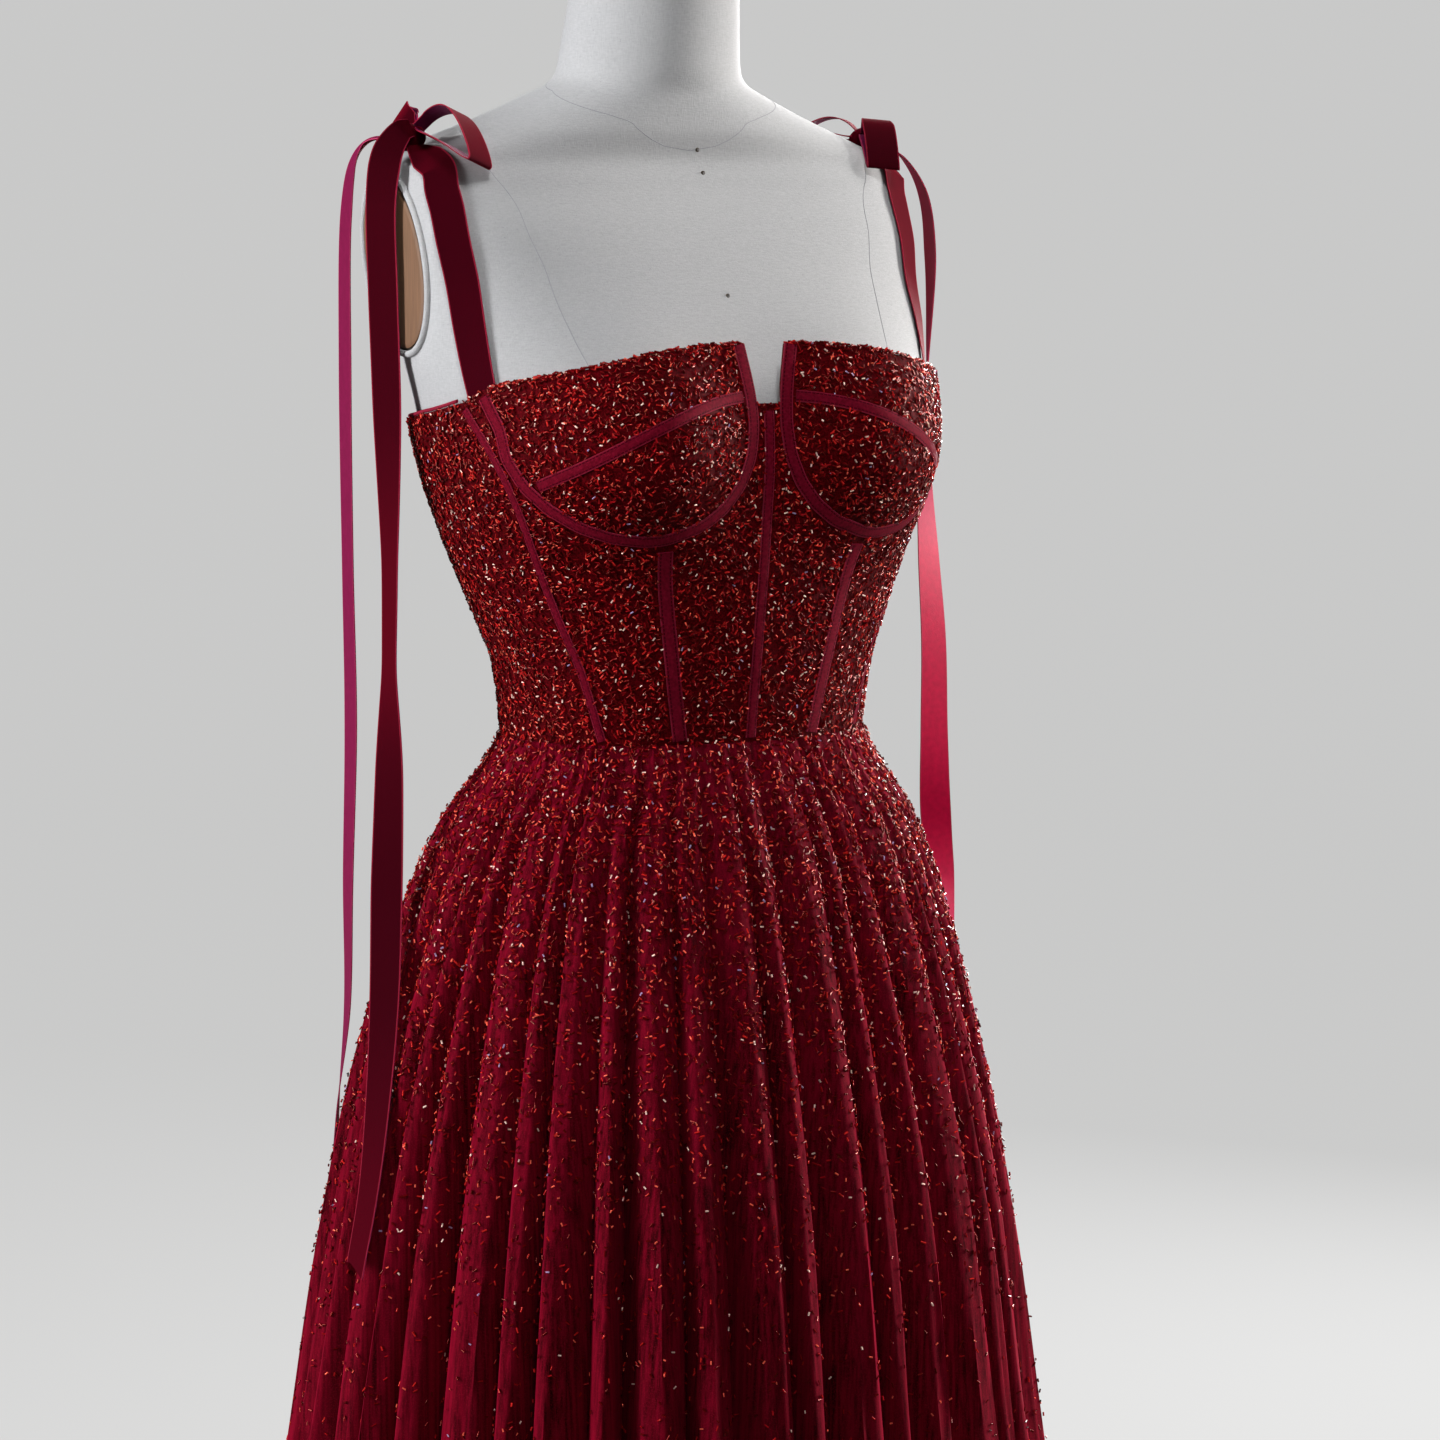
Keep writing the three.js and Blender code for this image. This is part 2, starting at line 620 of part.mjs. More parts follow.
// Each strap starts inside the bodice, as [angle in degrees, rise], and goes over the shoulder, as [x, y].
const BACK_STRAP = [[137, 176], [136, 205], [135, 235], [134, 265], [132.5, 295], [130.5, 312], [129, 325]];
const STRAPS = {
  front: {
    right: [[67, 200], [65.3, 225], [63.4, 250], [61.6, 275], [59.7, 300], [58.6, 318], [58.6, 330]],
    left: [[67, 200], [64.5, 220], [60.8, 250], [57.5, 275], [55.2, 300], [54.4, 318], [55, 330]],
    shoulder: [[158, 13], [160, 24]],
  },
  back: {
    right: BACK_STRAP,
    left: BACK_STRAP,
    shoulder: [[149, 108], [151, 99], [154, 88], [157, 76], [158, 66]],
  },
};
const STRAP_LIFT = 1.5;

// The rise of the top of the shoulder over a place in plan, found by halving.
function shoulderRise(x, y) {
  let low = 240;
  let high = 400;
  for (let k = 0; k < 24; k += 1) {
    const rise = (low + high) / 2;
    const centre = read(FORM, "centre", rise);
    const depth = read(FORM, y < centre ? "front" : "back", rise);
    const power = read(FORM, "power", rise);
    const share = Math.abs(x / read(FORM, "half", rise)) ** power + Math.abs((y - centre) / depth) ** power;
    if (share < 1) low = rise;
    else high = rise;
  }
  return low;
}

function rowsOnShoulder(list, sign, lift) {
  return list.map(([x, y]) => {
    const slopeX = (shoulderRise(x + 1, y) - shoulderRise(x - 1, y)) / 2;
    const slopeY = (shoulderRise(x, y + 1) - shoulderRise(x, y - 1)) / 2;
    const normal = new THREE.Vector3(-slopeX * sign, -slopeY, 1).normalize();
    const point = new THREE.Vector3(sign * x, y, WAIST_HEIGHT + shoulderRise(x, y)).addScaledVector(normal, lift);
    return { point, across: new THREE.Vector3(1, 0, slopeX * sign), width: RIBBON_WIDTH };
  });
}

// Each bow has a loop to the front and one to the back: where it leaves the middle of the knot, the way it points,
// the way of its width, its length and height, and how far it arches.
const LOOPS = {
  front_right: { base: [7, -5, 4.8], to: [16, -66, -30], across: [0.9, 0.34, -0.2], length: 58, height: 15, arch: 9 },
  back_right: { base: [3, 5, 11.1], to: [3, 22, 0], across: [-0.56, 0.06, -0.8], length: 23, height: 8, arch: 0 },
  front_left: { base: [-1.8, -6.2, 2.2], to: [-21, -57, -25], across: [0.86, -0.48, -0.16], length: 53, height: 11, arch: 14 },
  back_left: { base: [-4.1, 3.9, 4.6], to: [-32, 30, 6], across: [0.5, 0.8, 0], length: 31, height: 10, arch: 3 },
};
const LOOP_START = 28; // degrees of each loop left open at the knot
const LOOP_STEPS = 15;

// Each bow has two tails. The lower rows lie on the skirt.
const TAILS = {
  front_right: [
    [-166.8, 32.6, 367, -29, -60, 11],
    [-173.4, 31.4, 365.1, -29, -45, 14],
    [-179, 37.5, 354.5, -36, -24, 18.5],
    [-180.5, 42, 343, -50, -5, 21],
    [-181, 46, 320, -57, 0, 21],
    [-180.5, 45, 270, -57, 0, 21],
    [-179, 44, 200, -60, 0, 21],
    [-178, 44, 110, -88, 0, 21],
    [-179, 44, 40, -92, 0, 21],
    [-180.5, 42, -20, -62, 0, 21],
    [-186.5, 34, -90, -48, 0, 21],
    [-198, 14, -155, -52, 0, 20],
    [-207.5, 2, -205, -66, 0, 20],
    [-219, -7, -265, -80, 0, 20],
    [-230.5, -11, -313, -84, 0, 20],
  ],
  back_right: [
    [-165, 50.6, 361, 40, 0, 12],
    [-173, 78, 359, 62, 0, 18],
    [-175, 98, 345, 70, 0, 21],
    [-175, 109, 316, 78, 0, 21],
    [-175, 113, 220, 80, 0, 21],
    [-174, 114, 100, 76, 0, 21],
    [-173, 114, 0, 80, 0, 21],
    [-175, 116, -100, 76, 0, 20],
    [-176, 117, -180, 70, 0, 20],
    [-181, 121, -240, 62, 0, 20],
    [-178, 133, -278, 56, 0, 20],
  ],
  front_left: [
    [165.2, 38, 362, 50, 0, 12],
    [177, 28, 350, 66, 0, 18],
    [185, 18, 328, 74, 0, 21],
    [187, 12, 290, 78, 0, 21],
    [183, 8, 220, 60, 0, 21],
    [179, 4, 150, 34, 0, 21],
    [180.3, 1, 100, 20, 0, 21],
    [184, 0, 45, 10, 0, 21],
    [185, 0, -15, 3, 0, 21],
    [186.5, 0, -65, -12, 0, 21],
    [191, 0, -105, 4, 0, 21],
    [200.5, 2, -150, 48, 0, 20],
    [209, 7, -195, 78, 0, 20],
    [222, 14, -260, 84, 0, 20],
    [237, 22, -340, 86, 0, 20],
  ],
  back_left: [
    [159, 52.4, 363, 150, 0, 12],
    [164, 82, 361, 122, 0, 18],
    [160, 112, 350, 130, 0, 20],
    [156, 130, 318, 138, 0, 20],
    [152, 138, 250, 144, 0, 20],
    [150, 140, 160, 140, 0, 20],
    [150, 141, 0, 144, 0, 20],
    [152, 144, -110, 140, 0, 20],
    [158, 154, -200, 136, 0, 20],
    [166, 166, -290, 134, 0, 20],
  ],
};
const TAIL_STEPS = 26;

function bows() {
  for (const [side, sign] of [["right", -1], ["left", 1]]) {
    const [x, y, rise] = KNOT[side];
    const centre = new THREE.Vector3(x, y, WAIST_HEIGHT + rise);
    const knot = new THREE.SphereGeometry(1, 12, 8).scale(...KNOT_SIZE);
    add(`bow_knot_${side}`, knot.translate(centre.x, centre.y, centre.z), "velvet");

    for (const [name, list] of Object.entries(STRAPS)) {
      const forward = name === "front" ? -1 : 1;
      const end = centre.clone().add(new THREE.Vector3(0, forward * 7.4, -4.6 + forward * 0.4));
      const rows = [
        ...rowsOnForm(list[side].map(([degrees, up]) => [sign * degrees, up]), STRAP_LIFT),
        ...rowsOnShoulder(list.shoulder, sign, STRAP_LIFT),
        { point: end, across: new THREE.Vector3(1, 0, 0), width: 12 },
      ];
      if (rows[0].across.x < 0) rows.forEach((row, k) => k < list[side].length && row.across.negate());
      add(`strap_${name}_${side}`, ribbonGeometry(smoothRows(rows, 17)), "velvet");
    }
  }

  for (const [name, { base, to, across, length, height, arch }] of Object.entries(LOOPS)) {
    const [x, y, rise] = KNOT[name.split("_")[1]];
    const way = new THREE.Vector3(...to).normalize();
    const wide = new THREE.Vector3(...across);
    wide.addScaledVector(way, -wide.dot(way)).normalize();
    const tall = wide.clone().cross(way);
    const start = new THREE.Vector3(x, y, WAIST_HEIGHT + rise).add(new THREE.Vector3(...base));
    const rows = span(LOOP_STEPS, (s) => {
      const turn = lerp(LOOP_START, 360 - LOOP_START, s) * DEGREE;
      const reach = (length / 2) * (1 - Math.cos(turn));
      const point = start.clone().addScaledVector(way, reach);
      point.addScaledVector(tall, (height / 2) * Math.sin(turn) * (1.1 - 0.5 * (reach / length) ** 2));
      point.z += arch * Math.sin((Math.PI * reach) / length);
      return { point, across: wide, width: lerp(11, RIBBON_WIDTH, Math.min(1, (1.8 * reach) / length)) };
    });
    add(`bow_loop_${name}`, ribbonGeometry(rows), "velvet");
  }

  for (const [name, list] of Object.entries(TAILS)) {
    add(`bow_tail_${name}`, ribbonGeometry(smoothRows(freeRows(list), TAIL_STEPS)), "velvet");
  }
}

// The closed zip at the centre back: a slider, the bridge on it, and a tab that swings in the bridge.
const ZIP = { rise: 176, stand: 0.6, width: 6, depth: 2.2, height: 10 };
const BRIDGE = { inside: 1.2, bar: 0.9, reach: 2.5, width: 1.6 };
const TAB = { width: 6, length: 24, thickness: 1.2, holeWidth: 2.8, bar: 0.7, holeEnd: 4.8 };
const zipBack = onBodice(Math.PI, ZIP.rise + ZIP.height / 2).y + ZIP.stand;
const zipPivotY = zipBack + ZIP.depth + SEAM_GAP + BRIDGE.bar + BRIDGE.inside;
const zipPivot = new THREE.Vector3(0, zipPivotY, WAIST_HEIGHT + ZIP.rise);

function outlineShape(points) {
  const shape = new THREE.Shape();
  points.forEach(([u, v], k) => (k ? shape.lineTo(u, v) : shape.moveTo(u, v)));
  shape.closePath();
  return shape;
}

function zip() {
  const body = new THREE.BoxGeometry(ZIP.width, ZIP.depth, ZIP.height);
  const bodyY = zipPivot.y - BRIDGE.inside - BRIDGE.bar - SEAM_GAP - ZIP.depth / 2;
  add("zip_slider", body.translate(0, bodyY, zipPivot.z), "steel");

  // The bridge's side outline in (y, z) from the pivot is a closed ring.
  const { inside, bar, reach } = BRIDGE;
  const ring = (y, z) => [[-y, -z], [y, -z], [y, z], [-y, z]];
  const side = outlineShape(ring(inside + bar, reach + bar));
  side.holes.push(outlineShape(ring(inside, reach).reverse()));
  const bridge = new THREE.ExtrudeGeometry(side, { depth: BRIDGE.width, bevelEnabled: false });
  bridge.translate(0, 0, -BRIDGE.width / 2);
  bridge.rotateX(Math.PI / 2).rotateZ(Math.PI / 2);
  add("zip_bridge", bridge.translate(zipPivot.x, zipPivot.y, zipPivot.z), "steel");

  const w = TAB.width / 2;
  const tabShape = new THREE.Shape();
  tabShape.moveTo(-w * 0.7, TAB.bar);
  tabShape.lineTo(-w, -8);
  tabShape.lineTo(-w, -TAB.length + w);
  tabShape.absarc(0, -TAB.length + w, w, Math.PI, 2 * Math.PI, false);
  tabShape.lineTo(w, -8);
  tabShape.lineTo(w * 0.7, TAB.bar);
  tabShape.closePath();
  const h = TAB.holeWidth / 2;
  tabShape.holes.push(outlineShape([[-h, -TAB.bar], [h, -TAB.bar], [h, -TAB.holeEnd], [-h, -TAB.holeEnd]]));
  const tab = new THREE.ExtrudeGeometry(tabShape, { depth: TAB.thickness, bevelEnabled: false, curveSegments: 5 });
  tab.translate(0, 0, -TAB.thickness / 2).rotateX(Math.PI / 2);
  add("zip_pull_tab", tab.translate(zipPivot.x, zipPivot.y, zipPivot.z), "steel");
}

// The dress form: torso, neck cap, arm plates, pole and base.
const NECK_CAP_THICKNESS = 6;
const PLATE = { y: 52, rise: 287, long: 57, short: 37, lean: 30, thickness: 3, sides: 28 };
const POLE_RADIUS = 16;
const BASE_PROFILE = [[0, 0], [170, 0], [170, 7], [162, 11], [60, 16], [30, 24], [26, 60], [0, 60]];
const TORSO_FOOT = WAIST_HEIGHT + FORM_RINGS[0];
const BASE_TOP = BASE_PROFILE.at(-1)[1];

function torsoGeometry() {
  const points = [];
  const faces = [];
  for (const rise of FORM_RINGS) {
    for (let c = 0; c < FORM_COLUMNS; c += 1) {
      const p = onForm((c / FORM_COLUMNS) * 2 * Math.PI, rise);
      points.push(p.x, p.y, p.z);
    }
  }
  const at = (r, c) => r * FORM_COLUMNS + (c % FORM_COLUMNS);
  const last = FORM_RINGS.length - 1;
  for (let r = 0; r < last; r += 1) {
    for (let c = 0; c < FORM_COLUMNS; c += 1) {
      faces.push(at(r, c), at(r, c + 1), at(r + 1, c + 1), at(r, c), at(r + 1, c + 1), at(r + 1, c));
    }
  }
  for (let c = 1; c < FORM_COLUMNS - 1; c += 1) {
    faces.push(at(0, 0), at(0, c + 1), at(0, c), at(last, 0), at(last, c), at(last, c + 1));
  }
  const geometry = new THREE.BufferGeometry();
  geometry.setAttribute("position", new THREE.Float32BufferAttribute(points, 3));
  geometry.setIndex(faces);
  geometry.computeVertexNormals();
  return geometry;
}

function dressForm() {
  add("form_torso", torsoGeometry(), "linen");

  const neckRise = FORM_RINGS.at(-1);
  const capRadius = read(FORM, "half", neckRise) + 1;
  const cap = new THREE.CylinderGeometry(capRadius - 1, capRadius, NECK_CAP_THICKNESS, 30).rotateX(Math.PI / 2);
  const capZ = WAIST_HEIGHT + neckRise + SEAM_GAP + NECK_CAP_THICKNESS / 2;
  add("form_neck_cap", cap.translate(0, read(FORM, "centre", neckRise), capZ), "board");

  for (const [side, sign] of [["right", -1], ["left", 1]]) {
    const plate = new THREE.CylinderGeometry(1, 1, PLATE.thickness, PLATE.sides).rotateZ(Math.PI / 2);
    plate.scale(1, PLATE.short, PLATE.long).rotateX(-PLATE.lean * DEGREE);
    const x = sign * (ARMHOLE_PLANE + SEAM_GAP + PLATE.thickness / 2);
    add(`form_arm_plate_${side}`, plate.translate(x, PLATE.y, WAIST_HEIGHT + PLATE.rise), "board");
  }

  const poleLength = TORSO_FOOT - BASE_TOP - 2 * SEAM_GAP;
  const pole = new THREE.CylinderGeometry(POLE_RADIUS, POLE_RADIUS, poleLength, 24).rotateX(Math.PI / 2);
  add("stand_pole", pole.translate(0, 0, BASE_TOP + SEAM_GAP + poleLength / 2), "steel");

  const profile = BASE_PROFILE.map(([radius, height]) => new THREE.Vector2(radius, height));
  add("stand_base", new THREE.LatheGeometry(profile, 36).rotateX(Math.PI / 2), "iron");
}

bodicePanels();
bodiceTapes();
topBindings();
skirt();
bows();
zip();
dressForm();

export default gown;
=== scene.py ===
"""Looks of a beaded a-line evening gown on a padded dress form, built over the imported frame.

Lengths are in millimetres and each rise is measured from the waist seam, as in the part's source.
"""

import math

import bmesh
import bpy
import numpy as np
from mathutils import Matrix, Vector, kdtree


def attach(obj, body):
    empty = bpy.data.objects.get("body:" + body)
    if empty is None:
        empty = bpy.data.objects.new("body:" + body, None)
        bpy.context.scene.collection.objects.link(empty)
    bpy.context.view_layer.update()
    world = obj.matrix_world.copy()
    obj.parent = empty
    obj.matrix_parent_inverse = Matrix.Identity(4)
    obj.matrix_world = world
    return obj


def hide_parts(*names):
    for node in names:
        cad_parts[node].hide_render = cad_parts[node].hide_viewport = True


ROOT = "gown_and_form"
WAIST = 1070.0
HEM_RISE = 15.0 - WAIST
WALL = 2.0
HALF_GAP = 0.15
DEG = math.pi / 180
SIDES = (("left", 1), ("right", -1))
rng = np.random.default_rng(7)

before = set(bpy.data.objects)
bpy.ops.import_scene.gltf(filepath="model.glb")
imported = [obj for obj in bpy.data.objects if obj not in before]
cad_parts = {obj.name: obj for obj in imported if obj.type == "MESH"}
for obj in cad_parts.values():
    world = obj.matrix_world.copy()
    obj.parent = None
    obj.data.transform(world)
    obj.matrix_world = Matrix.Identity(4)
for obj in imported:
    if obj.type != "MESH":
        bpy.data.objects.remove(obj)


# Tables
def table(names, rows):
    cols = {name: np.array([row[k] for row in rows], float) for k, name in enumerate(names.split())}
    cols["key"] = cols[names.split()[0]]
    return cols


def read(cols, name, at):
    x, y = cols["key"], cols[name]
    at = np.clip(np.asarray(at, float), x[0], x[-1])
    d = np.diff(y) / np.diff(x)
    m = np.empty_like(y)
    m[0], m[-1] = d[0], d[-1]
    both = d[:-1] * d[1:] > 0
    total = np.where(both, d[:-1] + d[1:], 1)
    m[1:-1] = np.where(both, 2 * d[:-1] * d[1:] / total, 0)
    k = np.clip(np.searchsorted(x, at, side="left") - 1, 0, len(x) - 2)
    span = x[k + 1] - x[k]
    s = (at - x[k]) / span
    rise = y[k + 1] - y[k]
    a, b = m[k] * span, m[k + 1] * span
    return y[k] + s * (a + s * (3 * rise - 2 * a - b + s * (a + b - 2 * rise)))


FORM = table("rise half front back centre power", [
    [-240, 150, 94, 106, 12, 2.2],
    [-180, 160, 102, 112, 10, 2.2],
    [-100, 140, 96, 98, 6, 2.2],
    [-40, 117, 83, 82, 1, 2.2],
    [0, 110, 79, 77, 0, 2.2],
    [40, 115, 84, 79, 0, 2.2],
    [80, 129, 92, 87, 3, 2.2],
    [120, 144, 100, 96, 7, 2.2],
    [160, 156, 104, 105, 11, 2.2],
    [200, 163, 106, 112, 15, 2.2],
    [240, 170, 94, 109, 22, 2.35],
    [280, 173, 83, 99, 34, 2.6],
    [310, 176, 77, 88, 46, 3.0],
    [335, 176, 70, 76, 55, 3.1],
    [350, 166, 66, 70, 57, 2.9],
    [362, 140, 66, 66, 55, 2.6],
    [375, 108, 62, 60, 51, 2.3],
    [388, 79, 59, 55, 49, 2.1],
    [396, 62.5, 56, 56, 45, 2.0],
    [402, 58, 55, 56, 43, 2.0],
    [415, 56, 54, 55, 41, 2.0],
    [490, 49, 49, 49, 27, 2.0],
])
BODICE = table("rise half front back centre power", [
    [0, 115, 84, 82, 0, 2.2],
    [40, 120, 90, 84, 0, 2.2],
    [80, 134, 99, 92, 3, 2.2],
    [120, 149, 108, 101, 7, 2.2],
    [160, 161, 113, 110, 11, 2.2],
    [200, 168, 116, 117, 15, 2.2],
    [250, 172, 118, 120, 20, 2.25],
])
ARMHOLE_PLANE = 168.0
CUP_SWELL, FORM_SWELL = 34.0, 20.0


def swell(x, rise, height):
    total = 0
    for side in (-1, 1):
        across = (x - side * 90) / 62
        up = (rise - 178) / np.where(rise > 178, 64, 52)
        total = total + height * np.exp(-((across * across + up * up) ** 1.3))
    return total


def oval(angle, half, depth, centre, power):
    """The point at an angle from the front of an oval section, which a power above 2 squares off."""
    s, c = np.sin(angle), np.cos(angle)
    x = half * np.sign(s) * np.abs(s) ** (2 / power)
    return x, centre - depth * np.sign(c) * np.abs(c) ** (2 / power)


def on_body(sections, height, angle, rise):
    angle, rise = np.broadcast_arrays(np.asarray(angle, float), np.asarray(rise, float))
    names = ("half", "front", "back", "centre", "power")
    half, front, back, centre, power = (read(sections, name, rise) for name in names)
    c = np.cos(angle)
    x, y = oval(angle, half, np.where(c > 0, front, back), centre, power)
    return np.stack([x, y - swell(x, rise, height) * np.clip(3 * c, 0, 1), WAIST + rise], -1)


def on_bodice(angle, rise):
    return on_body(BODICE, CUP_SWELL, angle, rise)


def on_form(angle, rise):
    p = on_body(FORM, FORM_SWELL, angle, rise)
    p[..., 0] = np.clip(p[..., 0], -ARMHOLE_PLANE, ARMHOLE_PLANE)
    return p


def unit(v):
    return v / np.maximum(np.linalg.norm(v, axis=-1, keepdims=True), 1e-9)


def soften(values, times):
    """Rounds off the corners of a line."""
    for _ in range(times):
        values[1:-1] = (values[:-2] + 2 * values[1:-1] + values[2:]) / 4
    return values


def circle(count):
    return np.linspace(0, 2 * math.pi, count + 1)[:-1]


def run_length(points, axis=0):
    """The length in metres of a line of points, or of each line of a grid."""
    return np.linalg.norm(np.diff(points, axis=axis), axis=-1).sum(axis) / 1000


def cell_areas(grid):
    a, b, c, d = grid[:-1, :-1], grid[:-1, 1:], grid[1:, 1:], grid[1:, :-1]
    return np.linalg.norm(np.cross(c - a, d - b), axis=-1) / 2


def frame_at(surface, angle, rise):
    along = (surface(angle + 0.01, rise) - surface(angle - 0.01, rise)) / 0.02
    up = (surface(angle, rise + 1) - surface(angle, rise - 1)) / 2
    return along, up, unit(np.cross(along, up))


def bodice_normals(grid):
    return frame_at(on_bodice, grid[..., 0], grid[..., 1])[2]


def off(surface, grid, out):
    angle, rise = grid[..., 0], grid[..., 1]
    return surface(angle, rise) + frame_at(surface, angle, rise)[2] * np.expand_dims(out, -1)


# Meshes
def new_object(name, data):
    o = bpy.data.objects.new(name, data)
    bpy.context.scene.collection.objects.link(o)
    return o


def smooth(me, angle=None):
    """Shades a mesh smooth, apart from edges over the angle."""
    me.polygons.foreach_set("use_smooth", np.ones(len(me.polygons), bool))
    if angle is not None:
        me.set_sharp_from_angle(angle=angle * DEG)


def new_mesh(name, verts, quads, materials, uv=None, slots=None, angle=None, colour=None):
    """A mesh from vertices in millimetres and quads (a repeated last corner makes a triangle)."""
    verts = np.asarray(verts, float).reshape(-1, 3) / 1000
    quads = np.asarray(quads, int)
    me = bpy.data.meshes.new(name)
    n = quads.shape[1]
    me.vertices.add(len(verts))
    me.vertices.foreach_set("co", verts.ravel())
    me.loops.add(quads.size)
    me.loops.foreach_set("vertex_index", quads.ravel())
    me.polygons.add(len(quads))
    me.polygons.foreach_set("loop_start", np.arange(len(quads)) * n)
    if slots is not None:
        me.polygons.foreach_set("material_index", slots)
    if uv is not None:
        layer = me.uv_layers.new(name="map")
        layer.data.foreach_set("uv", np.asarray(uv, float)[quads.ravel()].ravel())
    if colour is not None:
        attr = me.color_attributes.new("tint", "FLOAT_COLOR", "POINT")
        attr.data.foreach_set("color", np.asarray(colour, float).ravel())
    me.update(calc_edges=True)
    me.validate()
    smooth(me, angle)
    o = new_object(name, me)
    for m in materials if isinstance(materials, list) else [materials]:
        me.materials.append(m)
    return o


def grid_quads(rows, cols, start=0, flip=False, closed=False):
    r = np.arange(rows - 1)[:, None]
    c = np.arange(cols if closed else cols - 1)[None, :]
    c1 = (c + 1) % cols
    q = np.stack([r * cols + c, r * cols + c1, (r + 1) * cols + c1, (r + 1) * cols + c], -1).reshape(-1, 4)
    return (q[:, ::-1] if flip else q) + start


def wall_mesh(name, outer, inner, materials, angle=40):
    """A closed wall between two grids of points. u is the length along the columns and v crosses them."""
    rows, cols = outer.shape[:2]
    n = rows * cols
    verts = np.concatenate([outer.reshape(-1, 3), inner.reshape(-1, 3)])
    faces = [grid_quads(rows, cols), grid_quads(rows, cols, n, flip=True)]
    idx = np.arange(n).reshape(rows, cols)
    for edge, forward in ((idx[:, 0], True), (idx[:, -1], False), (idx[0], False), (idx[-1], True)):
        a, b = edge[:-1], edge[1:]
        q = np.stack([a, b, b + n, a + n], -1)
        faces.append(q if forward else q[:, ::-1])
    v = np.linspace(0, 1, cols)[None, :].repeat(rows, 0)
    step = np.linalg.norm(np.diff(outer.mean(1), axis=0), axis=-1)
    u = np.concatenate([[0], np.cumsum(step)])[:, None].repeat(cols, 1)
    uv = np.stack([u, v], -1).reshape(-1, 2)
    quads = np.concatenate(faces)
    slots = np.zeros(len(quads), int)
    if isinstance(materials, list):
        slots[len(faces[0]):2 * len(faces[0])] = 1
    return new_mesh(name, verts, quads, materials, np.concatenate([uv, uv]), slots, angle)


def refine(grid, rows, cols):
    """A patch with each of its cells split, in straight lines."""
    r, c = grid.shape[:2]
    rr, cc = np.linspace(0, r - 1, (r - 1) * rows + 1), np.linspace(0, c - 1, (c - 1) * cols + 1)
    r0, c0 = np.minimum(rr.astype(int), r - 2), np.minimum(cc.astype(int), c - 2)
    fr, fc = (rr - r0)[:, None, None], (cc - c0)[None, :, None]
    return (
        grid[r0][:, c0] * (1 - fr) * (1 - fc)
        + grid[r0 + 1][:, c0] * fr * (1 - fc)
        + grid[r0][:, c0 + 1] * (1 - fr) * fc
        + grid[r0 + 1][:, c0 + 1] * fr * fc
    )


# Materials
def shader(name):
    m = bpy.data.materials.new(name)
    m.use_nodes = True
    nt = m.node_tree
    return m, nt, nt.nodes["Principled BSDF"]


def put(nt, n, sockets):
    """Sets a node's sockets to numbers or colours, or links them to other sockets."""
    for key, value in sockets.items():
        if isinstance(value, (int, float)):
            n.inputs[key].default_value = value
        elif isinstance(value, tuple):
            n.inputs[key].default_value = (*value, 1)
        else:
            nt.links.new(value, n.inputs[key])


def node(nt, kind, sockets=None):
    n = nt.nodes.new("ShaderNode" + kind)
    put(nt, n, sockets or {})
    return n


def calc(nt, operation, *values):
    n = node(nt, "Math", dict(enumerate(values)))
    n.operation = operation
    return n.outputs[0]


def mix(nt, factor, a, b):
    n = node(nt, "Mix")
    n.data_type = "RGBA"
    put(nt, n, {"Factor": factor, 6: a, 7: b})
    return n.outputs[2]


def noise(nt, scale, detail=2.0, stretch=None, roughness=0.5):
    place = node(nt, "TexCoord").outputs["Object"]
    if stretch:
        m = node(nt, "Mapping", {"Vector": place})
        m.inputs["Scale"].default_value = stretch
        place = m.outputs[0]
    n = node(nt, "TexNoise", {"Scale": scale, "Detail": detail, "Roughness": roughness, "Vector": place})
    return n.outputs["Fac"]


def strip_map(nt):
    """On a strip of cloth, the length in mm from its start and the share of its width off its middle."""
    uv = node(nt, "UVMap")
    uv.uv_map = "map"
    u, v, _ = node(nt, "SeparateXYZ", {0: uv.outputs[0]}).outputs
    return u, calc(nt, "ABSOLUTE", calc(nt, "SUBTRACT", v, 0.5))


def bump(nt, bsdf, height, strength, distance):
    b = node(nt, "Bump", {"Strength": strength, "Distance": distance, "Height": height})
    put(nt, bsdf, {"Normal": b.outputs[0]})


def facing(nt, blend):
    return node(nt, "LayerWeight", {"Blend": blend}).outputs["Facing"]


def remap(nt, value, lo, hi, a=0.0, b=1.0):
    return node(nt, "MapRange", {0: value, 1: lo, 2: hi, 3: a, 4: b}).outputs[0]


DYE = (1, 0.12, 0.16)


def surface(nt, b, colour, roughness, specular, tint=(1, 1, 1)):
    """Sets the main sockets. What little a dyed cloth reflects takes on a tint."""
    put(nt, b, {
        "Base Color": colour, "Roughness": roughness, "Specular IOR Level": specular, "Specular Tint": tint,
    })


def beaded_ground():
    m, nt, b = shader("beaded_ground")
    n = remap(nt, noise(nt, 900, 3), 0.35, 0.65)
    surface(nt, b, mix(nt, n, (0.030, 0.0003, 0.001), (0.11, 0.0012, 0.004)), 0.65, 0.06, DYE)
    return m


def bead_glass():
    m, nt, b = shader("bead_glass")
    tint = node(nt, "VertexColor")
    tint.layer_name = "tint"
    surface(nt, b, tint.outputs[0], 0.13, 0.5, (1, 0.26, 0.17))
    return m


